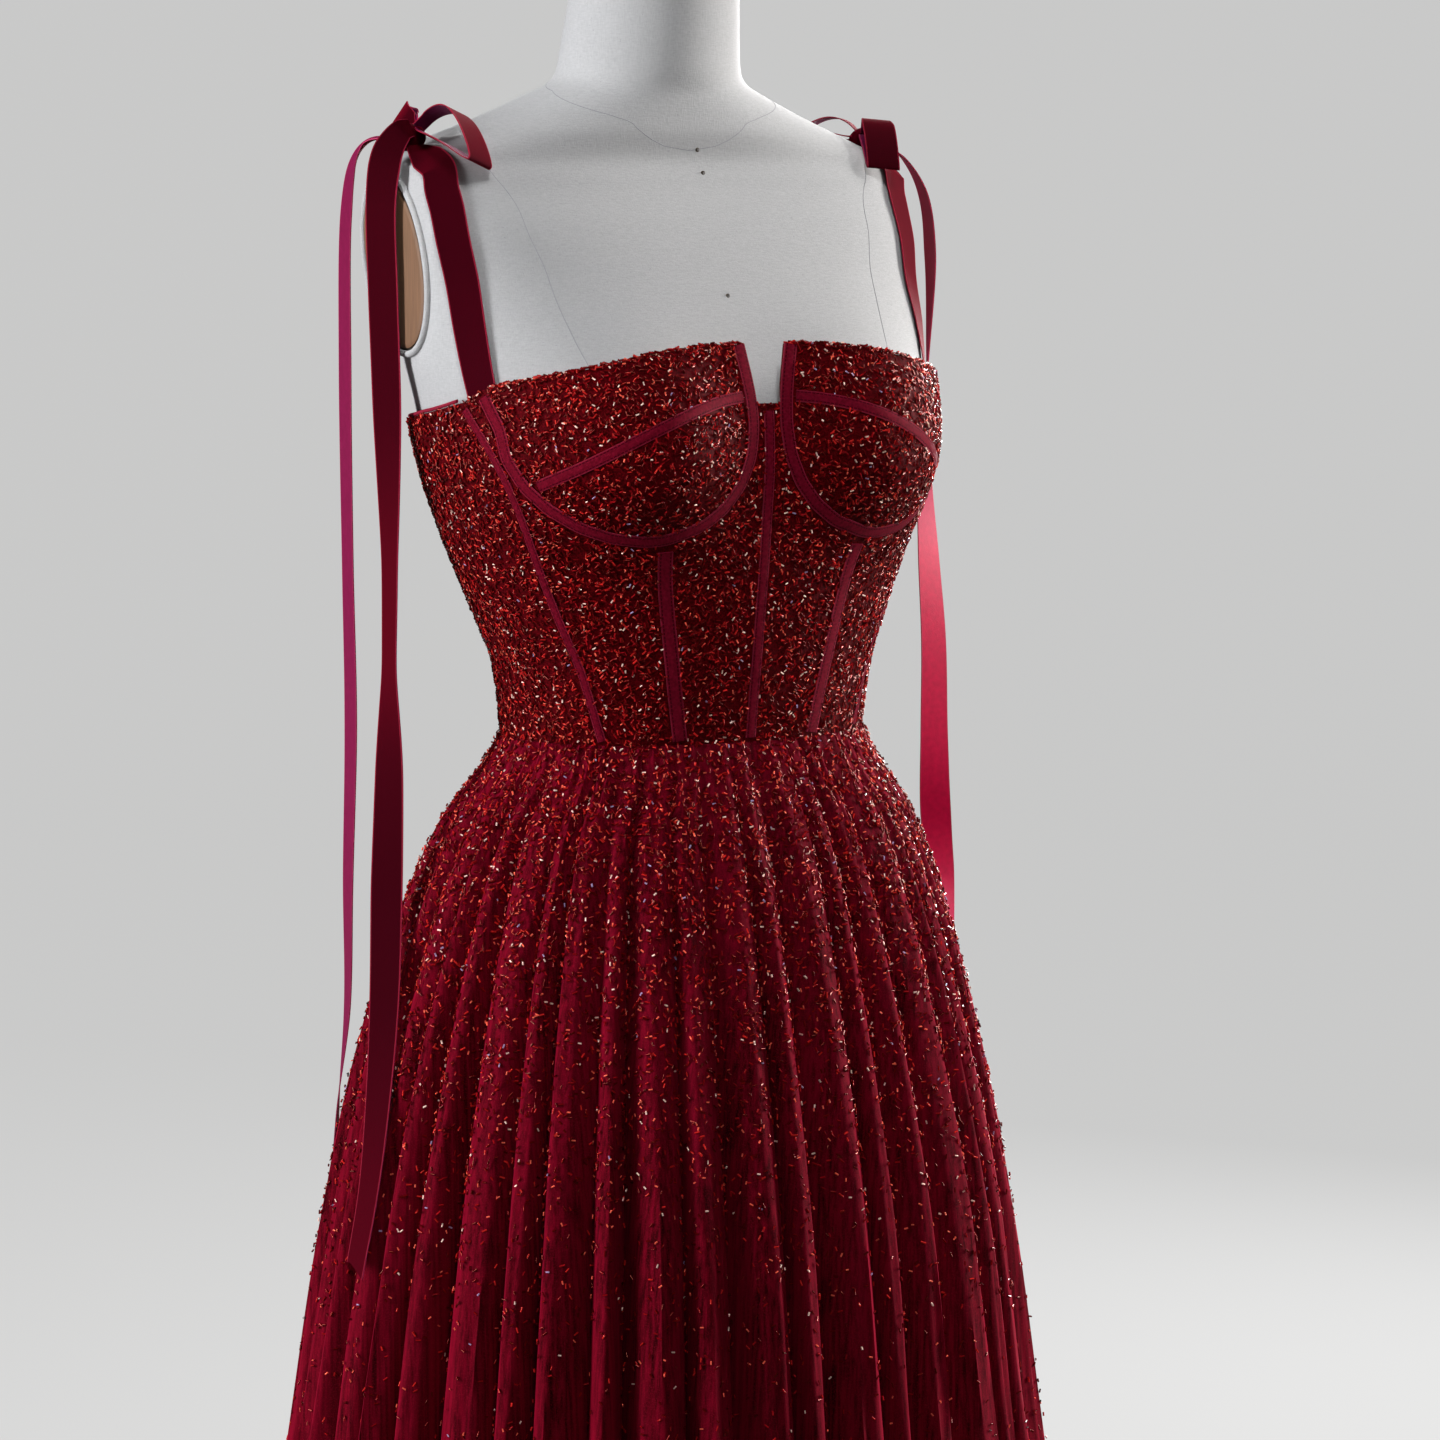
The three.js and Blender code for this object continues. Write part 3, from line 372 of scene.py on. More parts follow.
def satin_tape():
    m, nt, b = shader("satin_tape")
    u, edge = strip_map(nt)
    line = calc(nt, "LESS_THAN", calc(nt, "ABSOLUTE", calc(nt, "SUBTRACT", edge, 0.33)), 0.045)
    dash = calc(nt, "LESS_THAN", calc(nt, "FRACT", calc(nt, "MULTIPLY", u, 0.42)), 0.7)
    stitch = calc(nt, "MULTIPLY", line, dash)
    ribs = calc(nt, "SINE", calc(nt, "MULTIPLY", u, 7.0))
    base = mix(nt, remap(nt, noise(nt, 500, 2), 0.3, 0.7), (0.10, 0.002, 0.009), (0.17, 0.004, 0.017))
    rim = mix(nt, remap(nt, edge, 0.40, 0.49), base, (0.24, 0.015, 0.035))
    surface(nt, b, mix(nt, stitch, rim, (0.045, 0.001, 0.006)), 0.6, 0.04, (1, 0.2, 0.25))
    bump(nt, b, calc(nt, "SUBTRACT", calc(nt, "MULTIPLY", ribs, 0.15), stitch), 0.5, 0.0004)
    return m


def velvet(name, face, edge_colour, painted_sheen, reverse=False, stretches=()):
    """A ribbon's face. Each stretch fades it to another colour between two lengths from its start. Towards
    grazing angles the base colour takes on a painted sheen.
    """
    m, nt, b = shader(name)
    u, edge = strip_map(nt)
    n = remap(nt, noise(nt, 260, 3), 0.3, 0.7)
    for start, stop, colour in stretches:
        face = mix(nt, remap(nt, u, start, stop), face, colour)
    base = mix(nt, calc(nt, "MULTIPLY", n, 0.25), face, (0.03, 0.0005, 0.004))
    # Painted sheen: the base colour turns towards the sheen colour as the face turns edge-on to the view.
    light = calc(nt, "POWER", facing(nt, 0.35), 1.6)
    lit = mix(nt, calc(nt, "MULTIPLY", light, 0.75), base, painted_sheen)
    colour = mix(nt, remap(nt, edge, 0.455, 0.475), lit, edge_colour)
    surface(nt, b, colour, 0.45 if reverse else 0.85, 0.25 if reverse else 0.08, (1, 0.1, 0.22))
    bump(nt, b, noise(nt, 1500, 2), 0.3, 0.0004)
    return m


def tulle():
    m, nt, b = shader("tulle")
    streak = noise(nt, 1.0, 4, (420, 420, 4), 0.6)
    broad = noise(nt, 1.0, 2, (40, 40, 3))
    fine = noise(nt, 1300, 1)
    base = mix(nt, remap(nt, streak, 0.36, 0.66), (0.018, 0.0002, 0.001), (0.15, 0.0013, 0.010))
    base = mix(nt, remap(nt, broad, 0.4, 0.75, 0, 0.45), base, (0.20, 0.002, 0.015))
    base = mix(nt, remap(nt, fine, 0.5, 0.7, 0, 0.3), base, (0.28, 0.008, 0.022))
    # Painted sheen: the base colour turns to a lighter crimson towards grazing angles.
    rim = calc(nt, "MULTIPLY", calc(nt, "POWER", facing(nt, 0.4), 2.2), 0.6)
    surface(nt, b, mix(nt, rim, base, (0.38, 0.004, 0.030)), 0.75, 0.05, DYE)
    return m


def linen():
    m, nt, b = shader("linen")
    a = noise(nt, 1.0, 2, (1500, 1500, 260))
    c = noise(nt, 1.0, 2, (260, 260, 1500))
    weave = calc(nt, "ADD", a, c)
    fleck = remap(nt, noise(nt, 700, 1), 0.70, 0.78, 0, 0.4)
    base = mix(nt, remap(nt, weave, 0.7, 1.3), (0.39, 0.39, 0.395), (0.46, 0.46, 0.465))
    surface(nt, b, mix(nt, fleck, base, (0.24, 0.24, 0.26)), 0.9, 0.2)
    b.inputs["Sheen Weight"].default_value = 0.1
    bump(nt, b, weave, 0.4, 0.0003)
    return m


def plain(name, colour, roughness=0.6, metallic=0.0, specular=0.5, grain=None):
    m, nt, b = shader(name)
    if grain:
        n = noise(nt, 1.0, 4, grain)
        colour = mix(nt, remap(nt, n, 0.3, 0.7), tuple(0.72 * k for k in colour), colour)
    surface(nt, b, colour, roughness, specular)
    b.inputs["Metallic"].default_value = metallic
    return m


GROUND = beaded_ground()
GLASS = bead_glass()
TAPE = satin_tape()
# The fourth colour of each ribbon is its painted sheen.
VELVET = velvet("velvet", (0.034, 0.0003, 0.003), (0.24, 0.012, 0.030), (0.24, 0.002, 0.014))
REVERSE = velvet("ribbon_reverse", (0.11, 0.004, 0.045), (0.36, 0.03, 0.09), (0.22, 0.008, 0.08), True)
ROSE = velvet("ribbon_rose", (0.19, 0.007, 0.050), (0.34, 0.03, 0.09), (0.24, 0.012, 0.07), True)
# A lit copy of the ribbon for one tail, with painted light: it fades up to bright crimson between 200 and 270
# mm along the tail and down again between 470 and 580 mm.
PAINTED_LIT_RIBBON = velvet("ribbon_lit", (0.13, 0.003, 0.035), (0.40, 0.02, 0.06), (0.45, 0.006, 0.06), True,
                 ((200, 270, (0.50, 0.004, 0.045)), (470, 580, (0.26, 0.007, 0.060))))
TULLE = tulle()
LINEN = linen()
SEAM = plain("seam_shadow", (0.30, 0.30, 0.32), 0.9, 0, 0.2)
BOARD = plain("board", (0.20, 0.10, 0.05), 0.6, 0, 0.4, (40, 500, 40))
STEEL = plain("steel", (0.55, 0.55, 0.56), 0.3, 0.9)
IRON = plain("iron", (0.045, 0.045, 0.05), 0.5, 0.2)
ZIP_METAL = plain("zip_metal", (0.14, 0.01, 0.03), 0.35, 0.5)
PIN = plain("pin", (0.10, 0.08, 0.06), 0.3, 0.8)


def mount(o, nodes):
    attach(o, ROOT)
    if nodes:
        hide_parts(*nodes)


# Bodice
SIDE_FRONT_SEAM = table("rise angle", [
    [0, 47], [46, 54], [81, 57.5], [116, 60], [148, 63.5], [176, 68], [210, 75],
])
SIDE_BACK_ANGLE, BACK_ANGLE = 126.0, 153.0
TOP_EDGE = table("angle rise", [
    [0, 240], [12, 238.5], [25, 234], [40, 226], [55, 218.5], [66, 213.5], [75, 205],
    [87, 198.5], [100, 194], [130, 190], [180, 186],
])


def top_rise(angle):
    return read(TOP_EDGE, "rise", np.abs(angle) / DEG)


def angle_of(x, rise):
    share = np.minimum(1, np.abs(x) / read(BODICE, "half", rise))
    return np.sign(x) * np.arcsin(share ** (read(BODICE, "power", rise) / 2))


def pt(x, rise):
    return [float(angle_of(x, rise)), float(rise)]


def front_seam(rise):
    return pt(45 + 0.176 * rise, rise)


def side_seam(rise):
    return [float(read(SIDE_FRONT_SEAM, "angle", rise)) * DEG, rise]


WIRE = dict(centre=79, rise=190, inner=67.5, outer=72, drop=65)
WIRE_TURNS = [180, 165, 150, 135, 120, 100, 90, 75, 60, 45, 36, 30, 15, 0]
FRONT_TURN, CROSS_TURN = 100, 30
NOTCH_FOOT, NOTCH_HALF = 204.5, 8.3
NOTCH_EDGE = [[9, 209], [9.6, 216], [10.8, 223], [12.3, 231], [14, 239.6]]
WIRE_LEG = [[152.3, 197], [154.6, 205.5]]
LEG_TOP = 157.0


def wire_point(turn, grow):
    reach = (WIRE["inner"] if turn > 90 else WIRE["outer"]) + grow
    a = turn * DEG
    return WIRE["centre"] + reach * math.cos(a), WIRE["rise"] - (WIRE["drop"] + grow) * math.sin(a)


def cross_rise(x):
    return 208.8 - 0.00318 * (x - 9.2) ** 2


def between(p, q, count):
    return np.linspace(np.array(p, float), np.array(q, float), count)


def fill(bottom, top, left, right):
    bottom, top, left, right = (np.array(k, float) for k in (bottom, top, left, right))
    v = np.linspace(0, 1, len(left))[:, None, None]
    u = np.linspace(0, 1, len(bottom))[None, :, None]
    ruled = bottom[None] * (1 - v) + top[None] * v
    sides = left[:, None] * (1 - u) + right[:, None] * u
    corners = (bottom[0] * (1 - u) + bottom[-1] * u) * (1 - v) + (top[0] * (1 - u) + top[-1] * u) * v
    return ruled + sides - corners


def bodice_patches():
    """The panels on the wearer's left, as grids of (angle, rise)."""
    patches = {}
    wire = lambda turns, grow: [pt(*wire_point(t, grow)) for t in turns]
    gap = HALF_GAP / 110
    shift = lambda line, by: [[a + by, r] for a, r in line]
    side_top = float(read(TOP_EDGE, "rise", 75))
    side_rows = [HALF_GAP, 15, 30, 45, 60, 75, 90, 103, 109, 115, 123, 137, 147, 154, 171, 188, 195, 201,
                 side_top]
    meet = wire([FRONT_TURN], HALF_GAP)[0]
    front_edge = [front_seam(r) for r in np.linspace(HALF_GAP, meet[1], 8)]
    front_edge[-1] = meet
    side_edge = [side_seam(r) for r in side_rows]

    right = shift(front_edge, -gap)
    left = between([0.0015, HALF_GAP], [0.0015, NOTCH_FOOT], 8)
    top = [list(left[-1]), pt(NOTCH_HALF / 2, NOTCH_FOOT), pt(NOTCH_HALF, NOTCH_FOOT)]
    top += wire([t for t in WIRE_TURNS if t >= FRONT_TURN], HALF_GAP)
    top[-1] = right[-1]
    patches["front_centre"] = fill(between(left[0], right[0], len(top)), top, left, right)

    leg_top = [LEG_TOP + HALF_GAP, float(top_rise(angle_of(LEG_TOP, 213)))]
    chain = shift(front_edge, gap)
    chain += wire([t for t in WIRE_TURNS if t < FRONT_TURN], HALF_GAP)
    chain += [pt(x + HALF_GAP, r) for x, r in WIRE_LEG] + [pt(*leg_top)]
    ends = shift(side_edge, -gap)
    patches["front_side"] = np.array([between(p, q, 7) for p, q in zip(chain, ends)])

    def panel(name, left, end, count):
        left = np.array(left, float)
        angles = np.linspace(left[-1][0], end, count)
        top = np.stack([angles, top_rise(angles)], -1)
        top[0] = left[-1]
        rises = HALF_GAP + (top[-1][1] - HALF_GAP) * left[:, 1] / left[-1][1]
        rises[0] = HALF_GAP
        right = np.stack([np.full(len(left), end), rises], -1)
        patches[name] = fill(between(left[0], right[0], count), top, left, right)

    upright = lambda a: between([a, HALF_GAP], [a, float(top_rise(a))], 10)
    panel("side", shift(side_edge, gap), SIDE_BACK_ANGLE * DEG - gap, 8)
    panel("side_back", upright(SIDE_BACK_ANGLE * DEG + gap), BACK_ANGLE * DEG - gap, 5)
    panel("back", upright(BACK_ANGLE * DEG + gap), math.pi - gap, 5)

    bottom = wire([t for t in WIRE_TURNS if t > CROSS_TURN], -HALF_GAP)
    corner = wire_point(CROSS_TURN, -HALF_GAP)
    start = NOTCH_EDGE[0][0] + HALF_GAP

    def cross_line(lift):
        out = []
        for s in np.linspace(0, 1, len(bottom)):
            x = start + (corner[0] - start) * s**0.9
            out.append(pt(x, cross_rise(x) * (1 - s**6) + corner[1] * s**6 + lift))
        return out

    top = cross_line(-HALF_GAP)
    patches["cup_lower"] = fill(bottom, top, between(bottom[0], top[0], 5), between(bottom[-1], top[-1], 5))
    low = cross_line(HALF_GAP)
    left = [pt(x + HALF_GAP, r) for x, r in NOTCH_EDGE]
    left = [low[0], pt(9.3 + HALF_GAP, 212)] + left[1:]
    right = [low[-1]] + wire([15, 0], -HALF_GAP) + [pt(x - HALF_GAP, r) for x, r in WIRE_LEG]
    right += [pt(LEG_TOP - HALF_GAP, leg_top[1])]
    angles = np.linspace(left[-1][0], right[-1][0], len(low))
    top = np.stack([angles, top_rise(angles)], -1)
    patches["cup_upper"] = fill(low, top, left, right)
    return patches


PATCHES = bodice_patches()


def mirrored(grid, sign):
    return grid if sign > 0 else grid[:, ::-1] * [-1, 1]


def tape_lines():
    wire = [pt(*p) for p in [(18, 239), (14.8, 223), (12.6, 210), (11.6, 199)]]
    wire += [pt(*wire_point(t, 0)) for t in WIRE_TURNS if t != 36]
    wire += [pt(154.6, 203), pt(156, 209)]
    cross = [pt(x, cross_rise(x)) for x in np.linspace(18.5, 136, 10)]
    up_to = lambda seam, top, count: [seam(r) for r in np.linspace(3, top, count)]
    return {
        "underwire": (wire, 8),
        "cross_cup": (cross, 7),
        "front": (up_to(front_seam, 118.5, 11), 9),
        "side_front": (up_to(side_seam, 201, 14), 5),
        "side_back": (up_to(lambda r: [SIDE_BACK_ANGLE * DEG, r], 187, 13), 6),
        "back": (up_to(lambda r: [BACK_ANGLE * DEG, r], 185, 13), 6),
    }


def smooth_line(line, step=2.5):
    """The same line with a point about every step, rounded at its corners."""
    p = np.array(line, float)
    world = on_bodice(p[:, 0], p[:, 1])
    length = np.concatenate([[0], np.cumsum(np.linalg.norm(np.diff(world, axis=0), axis=-1))])
    count = int(length[-1] / step) + 2
    s = np.linspace(0, length[-1], count)
    out = np.stack([np.interp(s, length, p[:, 0]), np.interp(s, length, p[:, 1])], -1)
    return soften(out, 3)


def tape_grid(line, width, columns):
    p = smooth_line(line)
    world = on_bodice(p[:, 0], p[:, 1])
    way = unit(np.gradient(world, axis=0))
    along, up, normal = frame_at(on_bodice, p[:, 0], p[:, 1])
    across = unit(np.cross(way, normal))
    dot = lambda a, b: (a * b).sum(-1)
    aa, au, uu = dot(along, along), dot(along, up), dot(up, up)
    det = aa * uu - au * au
    da = (dot(across, along) * uu - dot(across, up) * au) / det
    dr = (dot(across, up) * aa - dot(across, along) * au) / det
    reach = np.linspace(-width / 2, width / 2, columns)[None, :]
    return np.stack([p[:, :1] + da[:, None] * reach, p[:, 1:] + dr[:, None] * reach], -1)


TAPE_COLUMNS = 7
TAPE_FOOT, TAPE_TOP, TAPE_PUFF = 0.35, 1.15, 0.35


def tapes():
    """Sews the tapes on, and gives each one's middle line and width."""
    centres = []
    puff = TAPE_PUFF * np.sin(np.linspace(0, math.pi, TAPE_COLUMNS)) ** 0.6
    middle = TAPE_COLUMNS // 2
    jobs = []
    for name, (line, width) in tape_lines().items():
        jobs += [(f"tape_{name}_{side}", [[sign * a, r] for a, r in line], width) for side, sign in SIDES]
    jobs.append(("tape_centre", [[0, r] for r in np.linspace(3, 200, 11)], 7))
    for name, line, width in jobs:
        g = tape_grid(line, width, TAPE_COLUMNS)
        outer = off(on_bodice, g, TAPE_TOP + puff)
        o = wall_mesh(f"{name}_cloth", outer, off(on_bodice, g, TAPE_FOOT), TAPE)
        mount(o, [name])
        centres.append((on_bodice(g[:, middle, 0], g[:, middle, 1]), width))
    return centres


# Beads
BEAD_SIDES = 4
# Bead colours, from dark to light red. The bright orange and pale pink rows are painted glints, small beads
# standing in for highlights on the glass; the last row is lilac. Each list of shares follows these rows.
BEAD_AND_GLINT_TINTS = np.array([
    [0.09, 0.0008, 0.002],
    [0.16, 0.0015, 0.004],
    [0.28, 0.004, 0.007],
    [0.50, 0.014, 0.012],
    [0.90, 0.12, 0.07],
    [1.00, 0.68, 0.58],
    [0.42, 0.30, 0.52],
])
# Beads from this row on, the painted glints and the lilac, are made smaller.
FIRST_GLINT_TINT = 4


def bead_mesh(name, centre, normal, length, radius, shares, lay=None):
    """Short glass tubes lying on a cloth, turned every way. The beads tinted as painted glints, and the lilac
    ones, are smaller.
    """
    count = len(centre)
    pick = rng.choice(len(BEAD_AND_GLINT_TINTS), count, p=np.array(shares) / np.sum(shares))
    length = np.where(pick >= FIRST_GLINT_TINT, 0.72, 1.0) * length
    radius = np.where(pick >= FIRST_GLINT_TINT, 0.85, 1.0) * radius
    turn = rng.uniform(0, 2 * math.pi, count) if lay is None else lay
    side = unit(np.cross(normal, np.where(np.abs(normal[:, 2:]) > 0.9, [[1.0, 0, 0]], [[0, 0, 1.0]])))
    other = np.cross(normal, side)
    way = side * np.cos(turn)[:, None] + other * np.sin(turn)[:, None]
    way = unit(way + normal * rng.normal(0, 0.16, count)[:, None])
    second = unit(np.cross(normal, way))
    third = np.cross(way, second)
    a = circle(BEAD_SIDES)
    ring = np.stack([np.zeros(BEAD_SIDES), np.cos(a), np.sin(a)], -1)
    shape = np.concatenate([ring + [-0.5, 0, 0], ring + [0.5, 0, 0]])
    verts = centre[:, None]
    for k, (size, axis) in enumerate(((length, way), (radius, second), (radius, third))):
        verts = verts + shape[None, :, k, None] * (size[:, None] * axis)[:, None]
    k = np.arange(BEAD_SIDES)
    quad = np.stack([k, k + BEAD_SIDES, (k + 1) % BEAD_SIDES + BEAD_SIDES, (k + 1) % BEAD_SIDES], -1)
    quads = (quad[None] + (np.arange(count) * 2 * BEAD_SIDES)[:, None, None]).reshape(-1, 4)
    tint = BEAD_AND_GLINT_TINTS[pick] * rng.uniform(0.7, 1.3, (count, 1))
    colour = np.concatenate([tint, np.ones((count, 1))], -1)[:, None].repeat(2 * BEAD_SIDES, 1)
    o = new_mesh(name, verts, quads, GLASS, colour=colour.reshape(-1, 4))
    mount(o, [])


def scatter(points, normals, count, weight=1):
    """Places spread over a grid of points, by area and an optional weight for each cell."""
    w = (cell_areas(points) * weight).ravel()
    cell = rng.choice(len(w), count, p=w / w.sum())
    r, k = np.divmod(cell, points.shape[1] - 1)
    u, v = rng.random((2, count, 1))
    blend = lambda g: (
        g[r, k] * (1 - u) * (1 - v) + g[r, k + 1] * u * (1 - v)
        + g[r + 1, k + 1] * u * v + g[r + 1, k] * (1 - u) * v
    )
    return blend(points), unit(blend(normals))


BODICE_BEADS_PER_MM2 = 0.19


def bodice():
    near_tapes = [(p, width) for line, width in tapes() for p in line]
    kd = kdtree.KDTree(len(near_tapes))
    for k, (p, _) in enumerate(near_tapes):
        kd.insert(Vector(p), k)
    kd.balance()
    for name, patch in PATCHES.items():
        fine = refine(patch, 4, 4)
        for side, sign in SIDES:
            g = mirrored(fine, sign)
            outer = off(on_bodice, g, 0)
            o = wall_mesh(f"{name}_{side}_cloth", outer, off(on_bodice, g, -WALL), GROUND)
            mount(o, [f"{name}_{side}"])
            area = float(cell_areas(outer).sum()) / 1e6
            width, length = float(run_length(outer, 1).max()), float(run_length(outer).max())
            centre, normal = scatter(outer, bodice_normals(g), int(area * 1e6 * BODICE_BEADS_PER_MM2))
            found = [kd.find(Vector(p)) for p in centre]
            clear = [distance > near_tapes[index][1] / 2 + 0.2 for _, index, distance in found]
            centre, normal = centre[clear], normal[clear]
            count = len(centre)
            length = rng.uniform(2.0, 3.3, count)
            radius = rng.uniform(0.45, 0.6, count)
            centre = centre + normal * rng.uniform(0.5, 1.7, count)[:, None]
            bead_mesh(f"{name}_{side}_beads", centre, normal, length, radius, [30, 26, 20, 13, 6, 4.6, 0.5])


def top_edges():
    """The thin binding round the sides and back, and the row of beads along the cups' top edges."""
    for side, sign in SIDES:
        angles = (sign * np.linspace(76, 178.6, 90) * DEG)[::sign]
        turn = circle(8)
        g = np.stack([angles, top_rise(angles)], -1)
        centre = off(on_bodice, g, -0.6) + [0, 0, 1.6]
        normal = bodice_normals(g)
        ring = centre[:, None] + normal[:, None] * (1.2 * np.cos(turn))[None, :, None]
        ring[..., 2] += 1.15 * np.sin(turn)[None, :]
        caps = [[0, 1, 2, 3], [0, 3, 4, 7], [4, 5, 6, 7]]
        end = (len(g) - 1) * 8
        quads = np.concatenate([
            grid_quads(len(g), 8, closed=True), caps, [[end + k for k in reversed(c)] for c in caps],
        ])
        o = new_mesh(f"top_binding_{side}_cloth", ring, quads, TAPE, np.zeros((len(g) * 8, 2)), angle=40)
        mount(o, [f"top_binding_{side}"])
    for side, sign in SIDES:
        a = rng.uniform(float(angle_of(15, 238)), float(angle_of(155, 212)), 330) * sign
        g = np.stack([a, top_rise(a)], -1)
        normal = bodice_normals(g)
        centre = off(on_bodice, g, rng.uniform(-1.8, 1.2, len(a)))
        centre[:, 2] += rng.uniform(-0.3, 1.5, len(a))
        lay = rng.uniform(-0.5, 0.5, len(a))
        bead_mesh(f"top_edge_beads_{side}", centre, normal, rng.uniform(2.2, 3.2, len(a)),
                  rng.uniform(0.6, 0.75, len(a)), [25, 30, 25, 10, 4, 5, 0.5], lay=lay)


# Skirt
SKIRT = table("rise half depth centre fold power", [
    [HEM_RISE, 350, 336, 34, 38, 2.0],
    [-740, 297, 279, 28, 33, 2.0],
    [-450, 246, 222, 21, 27, 2.0],
    [-300, 222, 197, 17, 23, 2.05],
    [-200, 200, 172, 14, 18, 2.1],
    [-100, 171, 138, 8, 11, 2.15],
    [-50, 149, 114, 4, 7, 2.2],
    [-20, 127, 96, 1, 4, 2.2],
    [0, 116.5, 85.5, 0, 2, 2.2],
])
# A row for each fold, the same in each quarter: its pitch, how deep its valley is and how it leans.
PITCH, DEPTH, LEAN = np.array([
    [1.2, 1.0, 0.1], [0.75, 0.8, -0.12], [1.0, 1.05, 0.06], [1.45, 1.1, 0.14], [0.8, 0.7, 0.0],
    [1.1, 1.0, -0.14], [0.65, 0.85, 0.08], [1.3, 1.15, 0.12], [0.95, 0.9, -0.08], [1.15, 1.0, 0.1],
    [0.7, 0.8, -0.05],
]).T
SKIRT_PANELS = [
    ("skirt_back_right", 4), ("skirt_side_back_right", 7), ("skirt_side_front_right", 7), ("skirt_front", 8),
    ("skirt_side_front_left", 7), ("skirt_side_back_left", 7), ("skirt_back_left", 4),
]
STARTS = np.concatenate([[0], np.cumsum(PITCH)[:-1]]) / PITCH.sum()
QUARTER = len(PITCH)
LAST_FOLD = 4 * QUARTER - 1
FOLD_STEPS = 12
SKIRT_WALL, SEAM_TRIM, WAIST_TRIM = 1.6, 0.04, 0.1
# Beads by the depth under the waist, in mm and beads on a square centimetre.
SKIRT_BEADS = [0, 60, 120, 200, 280, 360, 480, 620, 1055], [15, 13, 9, 5, 2.4, 1.0, 0.4, 0.22, 0.15]


def fold_start(number):
    return -math.pi + (number // QUARTER + STARTS[number % QUARTER]) * 2 * math.pi / 4


def skirt_point(number, step, rise):
    """A point on the skirt, by the fold's number and the share of the way across it."""
    number, step, rise = np.broadcast_arrays(number, step, rise)
    row = number % QUARTER
    start = fold_start(number)
    following = fold_start(np.minimum(number + 1, LAST_FOLD))
    pitch = np.where(number >= LAST_FOLD, math.pi - fold_start(LAST_FOLD), following - start)
    ridge = np.sin(math.pi * step) ** 0.7
    angle = start + pitch * (step + LEAN[row] * ridge)
    valley = DEPTH[row] * (1 - step) + DEPTH[(row + 1) % QUARTER] * step
    low = np.clip(-rise / 500, 0, 1)
    ripple = low * 1.6 * np.sin(angle * 97 + rise * 0.011)
    ripple = ripple + low * 1.1 * np.sin(angle * 171 - rise * 0.017 + 1.3)
    near = np.clip(1 + rise / 220, 0, 1)
    gather = near * (1.1 * np.sin(angle * 83 + 0.7) + 0.7 * np.sin(angle * 149 + 2.1) - 1.0)
    inward = read(SKIRT, "fold", rise) * valley * (1 - ridge)
    inward = inward - (ripple - 1.5 * low + gather) * np.sin(math.pi * step)
    half, depth = read(SKIRT, "half", rise) - inward, read(SKIRT, "depth", rise) - inward
    x, y = oval(angle, half, depth, read(SKIRT, "centre", rise), read(SKIRT, "power", rise))
    return np.stack([x, y, WAIST + rise], -1)


def skirt():
    rises = (WAIST_TRIM + (HEM_RISE - WAIST_TRIM) * np.linspace(0, 1, 66) ** 1.15)[::-1]
    first = 0
    for name, folds in SKIRT_PANELS:
        number = np.repeat(np.arange(first, first + folds), FOLD_STEPS)
        step = np.tile(np.arange(FOLD_STEPS) / FOLD_STEPS, folds)
        number, step = np.append(number, first + folds - 1), np.append(step, 1.0)
        outer = skirt_point(number[None], step[None], rises[:, None])
        normal = unit(np.cross(np.gradient(outer, axis=1), np.gradient(outer, axis=0)))
        inner = outer - unit(normal * [1, 1, 0]) * SKIRT_WALL
        for rows in (outer, inner):
            for k, j in ((0, 1), (-1, -2)):
                rows[:, k] += unit(rows[:, j] - rows[:, k]) * SEAM_TRIM
        o = wall_mesh(f"{name}_cloth", outer, inner, TULLE, angle=60)
        mount(o, [name])
        cells = cell_areas(outer)
        ridge = 0.35 + 0.65 * np.sin(math.pi * (step[:-1] + 0.5 / FOLD_STEPS)) ** 0.5
        weight = np.interp(-(rises[:-1] + rises[1:]) / 2, *SKIRT_BEADS)[:, None] * ridge[None]
        count = int((cells / 100 * weight).sum() * 0.92)
        centre, way = scatter(outer, normal, count, weight)
        centre = centre + way * rng.uniform(0.4, 1.5, count)[:, None]
        bead_mesh(f"{name}_beads", centre, way, rng.uniform(2.2, 3.4, count),
                  rng.uniform(0.5, 0.64, count), [28, 24, 18, 14, 12, 4, 1.0])
        first += folds


# Ribbons
RIBBON = 21.0
KNOT = {"right": (-164, 42, 361.5), "left": (158, 44, 362)}
KNOT_SIZE = (10.5, 9.5, 8.5)
KNOT_TURNS, KNOT_ROWS = 32, 21
STRAP_LIFT = 1.5
RIBBON_WALL = 0.7
RIBBON_COLUMNS = 7
BACK_STRAP = [[137, 176], [136, 205], [135, 235], [134, 265], [132.5, 295], [130.5, 312], [129, 325]]
STRAPS = {
    "front": {
        "right": [[67, 200], [65.3, 225], [63.4, 250], [61.6, 275], [59.7, 300], [58.6, 318], [58.6, 330]],
        "left": [[67, 200], [64.5, 220], [60.8, 250], [57.5, 275], [55.2, 300], [54.4, 318], [55, 330]],
        "shoulder": [[158, 13], [160, 24]],
    },
    "back": {
        "right": BACK_STRAP,
        "left": BACK_STRAP,
        "shoulder": [[149, 108], [151, 99], [154, 88], [157, 76], [158, 66]],
    },
}
# Each loop's foot from the knot, the way it points, its ribbon's way across, its length, height and arch.
LOOPS = {
    "front_right": ((7, -5, 7.8), (16, -66, -30), (0.87, 0.36, -0.3), 58, 20, 9),
    "back_right": ((3, 5, 11.1), (3, 22, 0), (-0.56, 0.06, -0.8), 23, 8, 0),
    "front_left": ((-1.8, -6.2, 2.2), (-21, -57, -25), (0.86, -0.48, -0.16), 53, 11, 14),
    "back_left": ((-4.1, 3.9, 4.6), (-32, 30, 6), (0.5, 0.8, 0), 31, 10, 3),
}
TAIL_FACES = {
    "front_right": [REVERSE, VELVET],
    "back_right": [ROSE, VELVET],
    "front_left": [PAINTED_LIT_RIBBON, PAINTED_LIT_RIBBON],
    "back_left": [VELVET, REVERSE],
}
